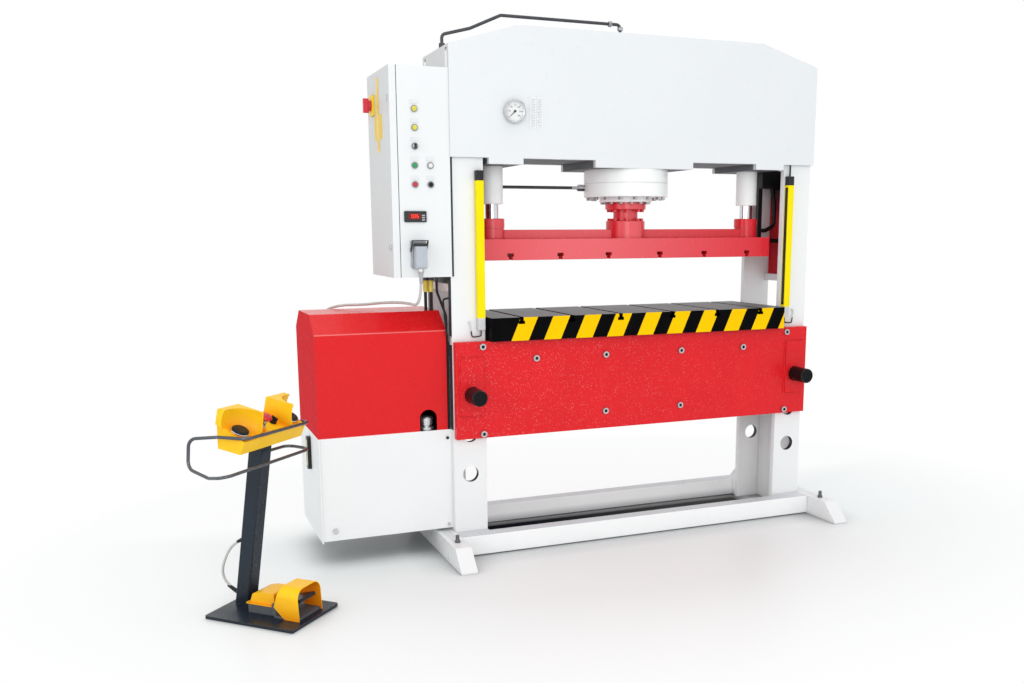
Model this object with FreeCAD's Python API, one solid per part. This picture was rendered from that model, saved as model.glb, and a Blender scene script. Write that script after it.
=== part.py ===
"""Hydraulic workshop press: welded frame with a guided pressing beam, a height-set bed,
a power pack and control cabinet on the left upright, and a two-hand pedestal with a foot pedal.

Millimetres. +Z is up, +X points to the press's right, the operator stands at -Y.
The origin is on the floor, centred between the uprights, under the ram's axis.
One STEP file is written for each sub-part.
"""
import FreeCAD, Part
import math
import os

VEC = FreeCAD.Vector
X_AXIS = VEC(1, 0, 0)
Y_AXIS = VEC(0, 1, 0)
Z_AXIS = VEC(0, 0, 1)
ORIGIN = VEC(0, 0, 0)
SIDES = (("left", -1), ("right", 1))
PAST = 1.0

# ---- driving dimensions: frame ----
INNER_WIDTH = 1520.0
POST_WIDTH = 150.0
POST_DEPTH = 340.0
PLATE = 25.0
TABLE_TOP = 1041.0
TABLE_THICK = 102.0
DAYLIGHT = 240.0
BED_HEIGHT = 425.0
BED_PLATE = 32.0
WINDOW_TOP = 1153.0
TIE_HEIGHT = 33.0
COVER_SHEET = 3.0
COVER_TOP = 1700.0

# ---- crown ----
CROWN_BOTTOM = 1713.0
CROWN_HEIGHT = 450.0
CROWN_RISE = 91.0
CROWN_BEVEL = 305.0
CROWN_SKIN = 12.0
BLOCK_DROP = 31.0
BLOCK_MARGIN = 51.0
TAB_DROP = 25.0
TAB_WIDTH = 157.0
FLOOR_RISE = 12.0

# ---- ram and its guides ----
DRUM_R = 195.0
DRUM_HEIGHT = 122.0
BARREL_R = 155.0
BARREL_HEIGHT = 468.0
CHAMBER_R = 120.0
ROD_R = 75.0
GLAND_R = 122.0
GLAND_HEIGHT = 22.0
PISTON_HEIGHT = 80.0
PISTON_LIFT = 424.0
COUPLING_TOP_R = 95.0
COUPLING_TOP_HEIGHT = 32.0
COUPLING_LOW_R = 91.0
COUPLING_LOW_HEIGHT = 80.0
COUPLING_NECK_R = 57.0
COUPLING_NECK_HEIGHT = 51.0
BEAM_HEIGHT = 92.0
BEAM_DEPTH = 200.0
RIB_HEIGHT = 41.0
RIB_WIDTH = 60.0
GUIDE_INSET = 97.0
GUIDE_ROD_R = 30.0
GUIDE_BOSS_R = 56.0
GUIDE_BOSS_HEIGHT = 90.0
GUIDE_ROD_LENGTH = 637.0
SLEEVE_R = 50.0
SLEEVE_LENGTH = 162.0

# ---- T-slots (18 mm machine-table size) ----
SLOT_THROAT = 18.0
SLOT_WIDE = 30.0
SLOT_NECK = 16.0
SLOT_DEPTH = 30.0
SLOT_MIDDLE_GAP = 266.0
SLOT_PITCH = 239.5

# ---- bed pins ----
PIN_R = 35.0
PIN_Z = 710.0
PIN_PITCH = 180.0
PIN_FRONT = 316.0
PIN_BACK = 232.0
DOUBLER_WIDTH = 105.0
DOUBLER_HEIGHT = 252.0
DOUBLER_THICK = 12.0
DOUBLER_RISE = 34.0

# ---- base ----
BASE_HEIGHT = 87.0
BASE_GROUND_GAP = 4.0
BASE_BEAM_DEPTH = 65.0
FOOT_WIDTH = 72.0
FOOT_HEIGHT = 91.0
FOOT_HALF_LENGTH = 481.0
FOOT_HALF_TOP = 395.0
FOOT_LIP = 8.0
STUD_R = 8.0
STUD_FRONT_Y = -313.0
STUD_REAR_Y = 372.0
STUD_ABOVE = 32.0

# ---- cabinet ----
CABINET_WIDTH = 250.0
CABINET_FRONT = -190.0
CABINET_BACK = 200.0
CABINET_BOTTOM = 1219.0
CABINET_TOP = 2067.0
CABINET_SHEET = 2.5
DOOR_DEPTH = 30.0
HINGE_R = 7.0
HINGE_LENGTH = 36.0
HINGE_OFFSET = 0.5

# ---- power pack ----
PACK_WIDTH = 580.0
PACK_FRONT = -134.0
PACK_BACK = 350.0
TANK_BOTTOM = 105.0
TANK_TOP = 552.0
TANK_SHEET = 4.0
HOOD_TOP = 1066.0
HOOD_GAP = 16.0
HOOD_SHEET = 2.5
HOOD_BEVEL_Y = 104.0
HOOD_BEVEL_Z = 79.0

# ---- pedestal ----
PEDESTAL_BESIDE_PACK = 271.0
PEDESTAL_Y = -598.0
PEDESTAL_TURN_DEG = 46.0
PEDESTAL_LEAN_DEG = 9.6
PLINTH_LENGTH = 292.0
PLINTH_DEPTH = 389.0
PLINTH_THICK = 12.0
PLINTH_GROUND_GAP = 4.0
PLINTH_PAD_R = 14.0
PLINTH_PAD_INSET = 30.0
COLUMN = 60.0
COLUMN_LENGTH = 641.0
COLUMN_X = 29.0
COLUMN_Y = 142.0
DESK_SLOPE_DEG = 17.0
RAIL_R = 6.0

# ---- details of the cylinder and ram ----
SEAM_RISE = 62.0
SEAM_HALF = 2.0
SEAM_DEPTH = 3.0
BARREL_CAP = 30.0
CHAMBER_FLOOR = 80.0
DRUM_BOLT_COUNT = 16
DRUM_BOLT_CIRCLE = 172.0
DRUM_BOLT_ACROSS = 24.0
DRUM_BOLT_HEAD = 13.0
DRUM_BOLT_START_DEG = 11.0
GLAND_BOLT_COUNT = 14
GLAND_BOLT_CIRCLE = 108.0
GLAND_BOLT_ACROSS = 17.0
GLAND_BOLT_HEAD = 9.0
COUPLING_BOLT_COUNT = 8
COUPLING_BOLT_ACROSS = 19.0
COUPLING_BOLT_HEAD = 11.0
COUPLING_BOLT_START_DEG = 22.5
COUPLING_LOW_CIRCLE = 74.0
COUPLING_TOP_CIRCLE = 77.0
ROD_HOLE_GAP = 1.0
CHAMFER = 3.0

# ---- details of the bed and base ----
TIE_BAR_R = 28.0
TIE_OUTER_X = 535.0
TIE_INNER_X = 195.0
TIE_HIGH_DROP = 84.0
TIE_LOW_RISE = 81.0
CORNER_BOLT_INSET = 24.0
CORNER_HIGH_DROP = 22.0
CORNER_LOW_RISE = 19.0
SOCKET_HEAD_R = 14.0
SOCKET_HEAD = 11.0
SOCKET_KEY_R = 7.0
SOCKET_KEY_DEPTH = 6.0
TABLE_OVERHANG = 30.0
TABLE_CHAMFER = 2.0
STUD_NUT_R = 12.0
STUD_NUT = 14.0

# ---- gauge, chart plate and light curtains: places from the upright's outer face and the crown's foot ----
GAUGE_INSET = 282.0
GAUGE_RISE = 190.5
GAUGE_R = 48.0
GAUGE_DEPTH = 26.0
GAUGE_NECK_R = 30.0
GAUGE_DIAL_R = 42.0
GAUGE_DIAL_DEPTH = 10.0
NEEDLE_LENGTH = 33.0
NEEDLE_WIDTH = 4.0
NEEDLE_THICK = 1.5
NEEDLE_HUB_R = 5.0
NEEDLE_REST_DEG = 45.0
CHART_INSETS = (353.0, 415.0)
CHART_RISES = (123.0, 255.0)
CHART_THICK = 1.5
CURTAIN_INSET = 23.0
CURTAIN_WIDTH = 33.0
CURTAIN_DEPTH = 32.0
CURTAIN_DROP = 1.0
CURTAIN_LENGTH = 578.0
CURTAIN_CORNER = 4.0
CURTAIN_CAP = 50.0
CURTAIN_BRACKET = 42.0
CURTAIN_END_CORNER = 6.0
CURTAIN_WINDOW = 2.0
CURTAIN_WINDOW_SIDE = 8.0
CURTAIN_WINDOW_END = 20.0
CURTAIN_STAY_R = 4.0
CURTAIN_LEAD_R = 3.0
CURTAIN_LEAD_BEND = 10.0
CURTAIN_LEAD_DROP = 28.0
CURTAIN_LEAD_SIDE = (42.0, -32.0)
CURTAIN_LEAD_END = (50.0, 32.0)

# ---- details of the cabinet: (inset from the upright, rise from the cabinet's underside) ----
CONTROL_GEAR_PLATE = 3.0
STANDOFF = 15.0
STANDOFF_R = 6.0
GEAR_PLATE_MARGINS = (30.0, 40.0)
STANDOFF_MARGINS = (50.0, 60.0)
HINGE_RISES = (111.0, 741.0)
HINGE_LEAF_THICK = 2.5
HINGE_BODY_LEAF = 32.0
HINGE_DOOR_LEAF = 28.0
DOOR_GAP = 0.6
LOCK_Y = -153.0
LOCK_RISES = (723.0, 125.0)
LOCK_R = 11.0
LOCK_OUT = 7.0
SWITCH_Y = 92.0
SWITCH_RISE = 717.0
SWITCH_BASE = 12.0
SWITCH_BASE_HALF = (33.0, 42.0)
SWITCH_CORNER = 5.0
SWITCH_DIAL_R = 22.0
SWITCH_DIAL = 10.0
SWITCH_GRIP_HALF = (7.0, 30.0)
SWITCH_GRIP_REACH = 32.0
SWITCH_GRIP_SUNK = 8.0
PLATE_Y = (-10.0, 30.0)
PLATE_RISES = (518.0, 821.0)
PLATE_THICK = 1.5
PANEL_CONTROL_R = 14.0
PANEL_BEZEL = 5.0
LAMP_SPOTS = ((148.0, 680.0), (148.0, 605.5))
LAMP_LENS_R = 10.0
LAMP_LENS = 9.0
LAMP_CROWN_R = 6.0
SELECTOR_SPOT = (149.0, 532.0)
SELECTOR_GRIP = 18.0
SELECTOR_GRIP_HALF = (3.5, 10.0)
SELECTOR_GRIP_CORNER = 1.5
BUTTON_SPOTS = {
    "button_green": (151.0, 456.0), "button_white": (85.0, 456.0),
    "button_red": (151.0, 379.5), "button_black": (85.0, 379.5),
}
BUTTON_R = 9.0
BUTTON_OUT = 4.0
BUTTON_BARREL = 30.0
BUTTON_CHAMFER = 1.0
LABEL_RISE = 27.0
LABEL_HALF = (17.0, 7.0)
LABEL_THICK = 1.5
TIMER_INSETS = (201.0, 107.0)
TIMER_RISES = (227.0, 272.0)
TIMER_OUT = 6.0
TIMER_CORNER = 4.0
DISPLAY_SIDES = (18.0, 26.0)
DISPLAY_ENDS = (12.0, 10.0)
DISPLAY_RECESS = 1.5
DISPLAY_THICK = 1.0
CONNECTOR_INSETS = (177.0, 115.0)
CONNECTOR_RISES = (39.0, 153.0)
CONNECTOR_BASE = 18.0
CONNECTOR_BASE_CORNER = 4.0
CONNECTOR_HOOD = 44.0
CONNECTOR_HOOD_INSET = 8.0
CONNECTOR_HOOD_DROP = 12.0
CONNECTOR_HOOD_CORNER = 8.0
CONNECTOR_HOOD_EDGE = 3.0
CONNECTOR_GLAND_R = 13.0
CONNECTOR_GLAND = 18.0
CONNECTOR_GLAND_TAPER = (3.0, 5.0)
LEVER_THICK = 3.0
LEVER_WIDTH = 10.0
LEVER_REACH = 22.0
LEVER_RISE = 111.0
LEVER_TOP_DROP = 4.0
LEVER_PIVOT_R = 2.5

# ---- details of the power pack ----
ARCH_INSETS = (141.0, 65.0)
ARCH_HEIGHT = 94.0
FLANGE_SCREW_INSET = 19.0
FLANGE_SCREW_R = 6.5
FLANGE_SCREW_HEAD = 5.0
FLANGE_SCREW_DROP = 37.0
FLANGE_SCREW_RISE = 17.0
SIDE_PLATE = 5.0
SIDE_PLATE_DROP = 7.0
DRAIN_INSET = 57.0
DRAIN_RISE = 42.0
DRAIN_R = 11.0
DRAIN_OUT = 10.0
LEVEL_Y = (66.0, 108.0)
LEVEL_DROPS = (171.0, 27.0)
LEVEL_OUT = 16.0
LEVEL_CORNER = 6.0
FILLER_BACK = 42.0
FILLER_PROFILE = (
    # radius, height above the tank's lid
    (0.0, 0.0), (34.0, 0.0), (34.0, 12.0), (22.0, 12.0), (22.0, 24.0), (30.0, 24.0), (30.0, 52.0),
    (25.0, 58.0), (0.0, 58.0),
)
CABLE_BOX_INSET = 95.0
CABLE_BOX_HALF = 35.0
CABLE_BOX_BACK = 42.0
CABLE_BOX_WALL = 30.0
CABLE_BOX_DROPS = (102.0, 28.0)
CABLE_GLAND_PROFILE = (
    # radius, height above the cable box
    (0.0, 0.0), (13.0, 0.0), (13.0, 15.0), (10.0, 21.0), (0.0, 21.0),
)

# ---- pipes, conduits and cables: insets from the upright, heights from the hood's top or the cabinet ----
PIPE_R = 7.0
PIPE_BEND = 32.0
PIPE_TIGHT_BEND = 19.2
PIPE_CLEARANCE = 1.5
TOP_PIPE_RISE = 72.0
TOP_PIPE_X = -37.0
TOP_PIPE_NUT = 32.0
TOP_PIPE_NUT_HEIGHT = 30.0
SHOULDER_INSET = 40.0
SHOULDER_Y = 27.0
SHOULDER_NUT_R = 13.0
SHOULDER_NUT = 24.0
SHOULDER_RISE = 60.0
TOP_PIPE_KNEES = ((159.0, 6.0, 10.0), (298.0, 0.0, 72.0))
DRUM_PIPE_DROP = 44.0
DRUM_NUT_R = 15.0
DRUM_NUT = 32.0
DRUM_NUT_SUNK = 12.0
CONDUIT_SPECS = (
    # inset, y, hose radius, fitting radius
    (64.0, 6.0, 7.0, 10.0), (44.0, -14.0, 7.0, 10.0), (36.0, 30.0, 10.0, 14.0),
)
CONDUIT_NUT = 22.0
CONDUIT_NUT_WALL = 2.0
CONDUIT_SLEEVE = 50.0
THICK_LEAD_R = 5.5
THICK_LEAD_BEND = 40.0
THICK_LEAD_INSET = 26.0
THICK_LEAD_YS = (-40.0, -112.0)
THICK_LEAD_DROPS = (69.0, 169.0)
THIN_LEAD_R = 4.0
THIN_LEAD_BEND = 14.0
THIN_LEAD_INWARD = 34.0
THIN_LEAD_DROP = 91.0
THIN_LEAD_KNEES = ((18.0, -106.0, 99.0), (24.0, -150.0, 189.0), (8.0, -140.0, 289.0), (8.0, -128.0, 369.0))
CABLE_R = 6.0
CABLE_OUT = 40.0
CABLE_DROP = 121.0
CABLE_ROUTE = (
    # inset from the upright, y, height above the hood
    (168.0, -50.0, 40.0), (225.0, 88.0, 34.0), (312.0, 172.0, 20.0), (400.0, 245.0, 17.0),
    (458.0, 340.0, -14.0), (480.0, 394.0, -101.0), (483.0, 402.0, -231.0), (485.0, 392.0, -376.0),
)

# ---- position sensor ----
SENSOR_Y = 60.0
SENSOR_HALF = 30.0
SENSOR_HEIGHT = 87.0
SENSOR_TOP_DROP = 1.0
SENSOR_INSET = 16.0
SENSOR_BACK = 5.0
SENSOR_BAR_X = (9.0, 31.0)
SENSOR_BAR_HALF = 11.0
SENSOR_BAR_LENGTH = 282.0
SENSOR_CONDUIT_R = 10.0
SENSOR_CONDUIT_BEND = 30.0
SENSOR_CONDUIT = (
    # inset from the upright's inner edge, rise above the bar's foot
    (31.0, 75.0), (62.0, 75.0), (112.0, 100.0), (112.0, 210.0), (95.0, 282.0),
)
SENSOR_STAY_RISES = (15.0, 35.0)
SENSOR_STAY_HALF = 4.0
SENSOR_SHELF_DROPS = (60.0, 30.0)
SENSOR_SHELF_HALF = 20.0

# ---- details of the pedestal ----
COLUMN_CORNER = 6.0
COLUMN_SUNK = 20.0
PLINTH_CORNER = 8.0
CONSOLE_X = (-148.0, 212.0)
CONSOLE_LOW_Y = 48.0
CONSOLE_TOP_Y = 62.0
CONSOLE_FRONT_HEIGHT = 50.0
HOOD_LENGTH = 105.0
HOOD_PROUD = 8.0
HOOD_RISE = 148.0
HOOD_FRONT_DROP = 5.0
HOOD_LEAN_IN = (2.0, 4.0)
HOOD_CORNER = 7.0
SCOOP_R = 82.0
SCOOP_INSET = 14.0
SCOOP_Y = -42.0
SCOOP_RISE = 106.0
PALM_R = 30.0
PALM_HEIGHT = 14.0
PALM_COLLAR_R = 34.0
PALM_CROWN = ((6.0, 4.0), 5.0)
STOP_R = 24.0
STOP_STEM_R = 10.0
STOP_HEIGHT = 62.0
STOP_HEAD = (
    # in from the head's rim, down from its top
    (6.0, 18.0), (0.0, 10.0), (5.0, 2.0),
)
STOP_STEM_DROP = 24.0
KNOB_R = 13.0
KNOB_HEIGHT = 24.0
KNOB_SHARE = 0.6
KNOB_GRIP_HALF = 4.0
COLLAR = 5.0
PALM_TRAVEL = 3.0
PALM_STEM_R = 12.0
STOP_COLLAR = 12.0
STOP_COLLAR_R = 16.0
STOP_TRAVEL = 4.0
RAIL_BEND = 34.0
RAIL_ROUTE = (
    # along the console, back from its middle, up from its underside
    (206, 10.9, 42.0), (236, 10.9, 42.0), (236, -75.1, 44.0), (-142, -75.1, 50.0), (-182, 16.9, 58.0),
    (-196, 132.9, 46.0), (-204, 136.9, -60.0), (-234, 22.9, -78.0), (-272, -75.1, -60.0),
    (226, -75.1, -60.0), (226, 26.9, -54.0), (59, 26.9, -50.0),
)
LEAD_R = 5.0
LEAD_GLAND_R = 8.0
LEAD_GLAND = 16.0
LEAD_POINTS = [
    (15, 133, 268), (15, 178, 246), (13, 216, 190), (11, 236, 128), (13, 216, 82), (16, 173, 57),
]
DESK_CONTROLS = {
    # along the console, up the slope from its front edge
    "palms": ((-112.0, 54.0), (176.0, 54.0)), "stop": (-8.0, 40.0), "knob": (82.0, 58.0),
}

# ---- foot pedal ----
PEDAL_HALF_REAR = 55.0
PEDAL_HALF_FRONT = 70.0
PEDAL_REAR_Y = (-60.0, 66.0)
PEDAL_REAR_HEIGHT = 34.0
PEDAL_FRONT_Y = -165.0
PEDAL_FRONT_HEIGHT = 10.0
YOKE_FRONT = 4.0
YOKE_ABOVE = 8.0
GUARD_SHEET = 3.0
GUARD_TOP = 135.0
GUARD_CORNER = 40.0
GUARD_Y = (-180.0, -40.0)
GUARD_SIDE = (
    # y and height of the guard's slanted ends; its foot is on the plinth
    (-62.0, 58.0), (-86.0, 135.0), (-166.0, 135.0),
)
GUARD_FOOT_Y = (-172.0, -108.0)
COVER_BRIM = 4.0
COVER_Y = (-50.0, 72.0)
COVER_PLATE = 5.0
COVER_INSET = 3.0
COVER_HUMP = ((46.0, 90.0), (8.0, 99.0))
COVER_BACK = 60.0
COVER_CORNER = 8.0
TREADLE_PIVOT_Y = -58.0
TREADLE_PIVOT_Z = 60.0
TREADLE_PIN_R = 3.0
TREADLE_HUB_R = 7.0
TREADLE_HALF = 48.0
TREADLE_SIDE_GAP = 0.8
TREADLE_ROOT = ((-6.0, -4.0), (0.0, 7.0))
TREADLE_TIP = ((-158.0, 92.0), (-162.0, 80.0))

# ---- fits and clearances ----
RUNNING = 0.1
RADIAL_GAP = 0.3
PIN_GAP = 0.8
BEAM_SIDE_GAP = 20.0
TABLE_SIDE_GAP = 10.0
BED_SIDE_GAP = 4.0

# ---- worked out ----
POST_IN = INNER_WIDTH / 2
POST_OUT = POST_IN + POST_WIDTH
POST_MID = POST_IN + POST_WIDTH / 2
POST_Y = POST_DEPTH / 2
BED_TOP = TABLE_TOP - TABLE_THICK
BED_BOTTOM = BED_TOP - BED_HEIGHT
BED_X = POST_OUT - BED_SIDE_GAP
BED_Y = POST_Y + BED_PLATE
TABLE_X = POST_IN - TABLE_SIDE_GAP
TABLE_Y = BED_Y + TABLE_OVERHANG
BEAM_X = POST_IN - BEAM_SIDE_GAP
BEAM_BOTTOM = TABLE_TOP + DAYLIGHT
BEAM_TOP = BEAM_BOTTOM + BEAM_HEIGHT
CROWN_Y = POST_Y + PLATE
CROWN_SHOULDER = CROWN_BOTTOM + CROWN_HEIGHT
CROWN_TOP = CROWN_SHOULDER + CROWN_RISE
CROWN_FLAT_X = POST_OUT - CROWN_BEVEL
BLOCK_X = DRUM_R + BLOCK_MARGIN
GUIDE_X = POST_IN - GUIDE_INSET
TAB_IN = GUIDE_X - TAB_WIDTH / 2
TAB_OUT = GUIDE_X + TAB_WIDTH / 2
FLOOR_TOP = CROWN_BOTTOM + FLOOR_RISE
DRUM_TOP = CROWN_BOTTOM - BLOCK_DROP
DRUM_BOTTOM = DRUM_TOP - DRUM_HEIGHT
SEAM_Z = DRUM_BOTTOM + SEAM_RISE
COUPLING_LOW_TOP = BEAM_TOP + COUPLING_LOW_HEIGHT
COUPLING_NECK_TOP = COUPLING_LOW_TOP + COUPLING_NECK_HEIGHT
COUPLING_TOP = COUPLING_NECK_TOP + COUPLING_TOP_HEIGHT
SLOT_XS = [side * (SLOT_MIDDLE_GAP / 2 + i * SLOT_PITCH) for side in (-1, 1) for i in range(3)]
PIN_HOLE_ZS = [PIN_Z - i * PIN_PITCH for i in range(3)]
CABINET_X1 = -POST_OUT
CABINET_X0 = CABINET_X1 - CABINET_WIDTH
DOOR_X = CABINET_X0 + DOOR_DEPTH
PACK_X1 = -POST_OUT
PACK_X0 = PACK_X1 - PACK_WIDTH
HOOD_X1 = PACK_X1 - HOOD_GAP
PLINTH_TOP = PLINTH_GROUND_GAP + PLINTH_THICK
PEDESTAL_X = PACK_X0 - PEDESTAL_BESIDE_PACK
TIE_BAR_PLACES = (
    (TIE_OUTER_X, BED_TOP - TIE_HIGH_DROP), (TIE_INNER_X, BED_TOP - TIE_HIGH_DROP),
    (TIE_INNER_X, BED_BOTTOM + TIE_LOW_RISE),
)
CORNER_BOLT_PLACES = (
    (POST_IN + CORNER_BOLT_INSET, BED_TOP - CORNER_HIGH_DROP),
    (POST_IN + CORNER_BOLT_INSET, BED_BOTTOM + CORNER_LOW_RISE),
)
GAUGE_X = -POST_OUT + GAUGE_INSET
GAUGE_Z = CROWN_BOTTOM + GAUGE_RISE
CHART_X = tuple(-POST_OUT + inset for inset in CHART_INSETS)
CHART_Z = tuple(CROWN_BOTTOM + rise for rise in CHART_RISES)
CURTAIN_X = POST_IN + CURTAIN_INSET
CURTAIN_Z = (TABLE_TOP - CURTAIN_DROP, TABLE_TOP - CURTAIN_DROP + CURTAIN_LENGTH)
HINGE_Y = CABINET_BACK + HINGE_R + HINGE_OFFSET
HINGE_ZS = tuple(CABINET_BOTTOM + rise for rise in HINGE_RISES)
LOCK_PLACES = tuple((LOCK_Y, CABINET_BOTTOM + rise) for rise in LOCK_RISES)
SWITCH_Z = CABINET_BOTTOM + SWITCH_RISE
PLATE_Z = tuple(CABINET_BOTTOM + rise for rise in PLATE_RISES)
LAMP_PLACES = tuple((CABINET_X1 - inset, CABINET_BOTTOM + rise) for inset, rise in LAMP_SPOTS)
SELECTOR_PLACE = (CABINET_X1 - SELECTOR_SPOT[0], CABINET_BOTTOM + SELECTOR_SPOT[1])
BUTTON_PLACES = {
    name: (CABINET_X1 - inset, CABINET_BOTTOM + rise) for name, (inset, rise) in BUTTON_SPOTS.items()
}
BORED_PLACES = (SELECTOR_PLACE,) + tuple(BUTTON_PLACES.values())
TIMER_X = tuple(CABINET_X1 - inset for inset in TIMER_INSETS)
TIMER_Z = tuple(CABINET_BOTTOM + rise for rise in TIMER_RISES)
CONNECTOR_X = tuple(CABINET_X1 - inset for inset in CONNECTOR_INSETS)
CONNECTOR_Z = tuple(CABINET_BOTTOM + rise for rise in CONNECTOR_RISES)
LEVER_PIVOT_Z = CABINET_BOTTOM + LEVER_RISE
CABLE_X = sum(CONNECTOR_X) / 2
CABLE_Y = CABINET_FRONT - CABLE_OUT
CABLE_TOP = CONNECTOR_Z[0] - CONNECTOR_GLAND
CABLE_BOX_X = PACK_X0 + CABLE_BOX_INSET
CABLE_BOX_Y = PACK_BACK + CABLE_BOX_BACK
CABLE_BOX_Z = tuple(TANK_TOP - drop for drop in CABLE_BOX_DROPS)
CABLE_POINTS = [(CABLE_X, CABLE_Y, CABLE_TOP), (CABLE_X, CABLE_Y, CABINET_BOTTOM - CABLE_DROP)]
CABLE_POINTS += [(-POST_OUT - inset, y, HOOD_TOP + rise) for inset, y, rise in CABLE_ROUTE]
CABLE_POINTS.append((CABLE_BOX_X, CABLE_BOX_Y, CABLE_BOX_Z[1] + CABLE_GLAND_PROFILE[-1][1]))
ARCH_X = tuple(PACK_X1 - inset for inset in ARCH_INSETS)
FILLER_X = sum(ARCH_X) / 2
FILLER_Y = PACK_FRONT + FILLER_BACK
SENSOR_Z = (COVER_TOP - SENSOR_TOP_DROP - SENSOR_HEIGHT, COVER_TOP - SENSOR_TOP_DROP)
SENSOR_BAR_Z = SENSOR_Z[0] - SENSOR_BAR_LENGTH
LEAN = math.radians(PEDESTAL_LEAN_DEG)
DESK_FOOT_Y = COLUMN_Y - COLUMN_LENGTH * math.sin(LEAN)
DESK_FOOT_Z = PLINTH_TOP + COLUMN_LENGTH * math.cos(LEAN)

nodes = {}


# ---------------------------------------------------------------- shapes ----
def box(x, y, z):
    """Box from three (low, high) pairs."""
    return Part.makeBox(x[1] - x[0], y[1] - y[0], z[1] - z[0], VEC(x[0], y[0], z[0]))


def span(side, near, far):
    """(low, high) of a stretch that lies at near..far on the given side of the middle."""
    return min(side * near, side * far), max(side * near, side * far)


def rod_x(x0, x1, y, z, r):
    return Part.makeCylinder(r, x1 - x0, VEC(x0, y, z), X_AXIS)


def rod_y(x, y0, y1, z, r):
    return Part.makeCylinder(r, y1 - y0, VEC(x, y0, z), Y_AXIS)


def rod_z(x, y, z0, z1, r):
    return Part.makeCylinder(r, z1 - z0, VEC(x, y, z0), Z_AXIS)


def face_of(points):
    return Part.Face(Part.makePolygon(points + [points[0]]))


def prism_x(points_yz, x0, x1):
    return face_of([VEC(x0, y, z) for y, z in points_yz]).extrude(VEC(x1 - x0, 0, 0))


def prism_y(points_xz, y0, y1):
    return face_of([VEC(x, y0, z) for x, z in points_xz]).extrude(VEC(0, y1 - y0, 0))


def prism_z(points_xy, z0, z1):
    return face_of([VEC(x, y, z0) for x, y in points_xy]).extrude(VEC(0, 0, z1 - z0))


def turned(points_rz, x=0.0, y=0.0):
    """Body of revolution about the upright axis through (x, y)."""
    solid = face_of([VEC(r, 0, z) for r, z in points_rz]).revolve(ORIGIN, Z_AXIS, 360)
    solid.translate(VEC(x, y, 0))
    return solid


def turned_y(points_ry, x, z):
    """Body of revolution about the axis along Y through (x, z)."""
    solid = face_of([VEC(r, y, 0) for r, y in points_ry]).revolve(ORIGIN, Y_AXIS, 360)
    solid.translate(VEC(x, 0, z))
    return solid


def hexagon(across, x, y, z0, z1):
    """Upright hexagonal head or nut of the given width across flats."""
    r = across / math.sqrt(3)
    corners = [(x + dx, y + dy) for dx, dy in on_circle(6, r)]
    return prism_z(corners, z0, z1)


def on_circle(count, radius, offset_deg=0.0):
    """Points spread evenly on a circle about the origin."""
    angles = [math.radians(offset_deg + 360.0 * i / count) for i in range(count)]
    return [(radius * math.cos(a), radius * math.sin(a)) for a in angles]


def is_along(edge, axis):
    """True for a straight edge that runs along the axis."""
    if not isinstance(edge.Curve, Part.Line):
        return False
    return abs(abs(edge.Curve.Direction.dot(axis)) - 1) < 1e-6


def soften(solid, radius, axis):
    """Round every straight edge that runs along the axis."""
    return solid.makeFillet(radius, [e for e in solid.Edges if is_along(e, axis)])


def cut_all(solid, tools):
    return solid.cut(Part.makeCompound(tools))


def group(shapes):
    return Part.makeCompound(shapes)


def bend_path(points, bend_r=None):
    """Wire of straight runs joined by tangent arcs, with the arcs' radii.

    An arc is as large as 0.45 of its shorter run allows, or has the given bend radius if that is less.
    """
    edges = []
    radii = []
    start = points[0]
    for before, corner, after in zip(points, points[1:], points[2:]):
        arm_in = (before - corner).Length
        arm_out = (after - corner).Length
        into = (corner - before).normalize()
        out = (after - corner).normalize()
        half = into.getAngle(out) / 2
        reach = 0.45 * min(arm_in, arm_out)
        if bend_r is not None:
            reach = min(reach, bend_r * math.tan(half))
        radius = reach / math.tan(half)
        first = corner - into * reach
        last = corner + out * reach
        inward = (out - into).normalize()
        centre = corner + inward * (radius / math.cos(half))
        middle = centre - inward * radius
        edges.append(Part.LineSegment(start, first).toShape())
        edges.append(Part.Arc(first, middle, last).toShape())
        radii.append(round(radius, 1))
        start = last
    edges.append(Part.LineSegment(start, points[-1]).toShape())
    return Part.Wire(edges), radii


def tube(points, r, bend_r=None, name=None):
    """Round bar along a path; a named one has its radii and volume printed."""
    points = [VEC(*p) for p in points]
    path, radii = bend_path(points, bend_r)
    circle = Part.Wire(Part.Circle(points[0], points[1] - points[0], r).toShape())
    solid = path.makePipeShell([circle], True, False)
    if name:
        share = solid.Volume / (math.pi * r * r * path.Length)
        print(name, "length", round(path.Length, 1), "radii", radii, "volume share", round(share, 4))
    return solid


def t_slots(z_face, into, y_half):
    """Cutters for the T-slots in a level face; into is +1 upward or -1 downward."""
    cutters = []
    for x in SLOT_XS:
        neck = sorted((z_face - into, z_face + into * SLOT_NECK))
        wide = sorted((z_face + into * SLOT_NECK, z_face + into * SLOT_DEPTH))
        y = (-y_half - PAST, y_half + PAST)
        cutters.append(box((x - SLOT_THROAT / 2, x + SLOT_THROAT / 2), y, neck))
        cutters.append(box((x - SLOT_WIDE / 2, x + SLOT_WIDE / 2), y, wide))
    return cutters


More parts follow.
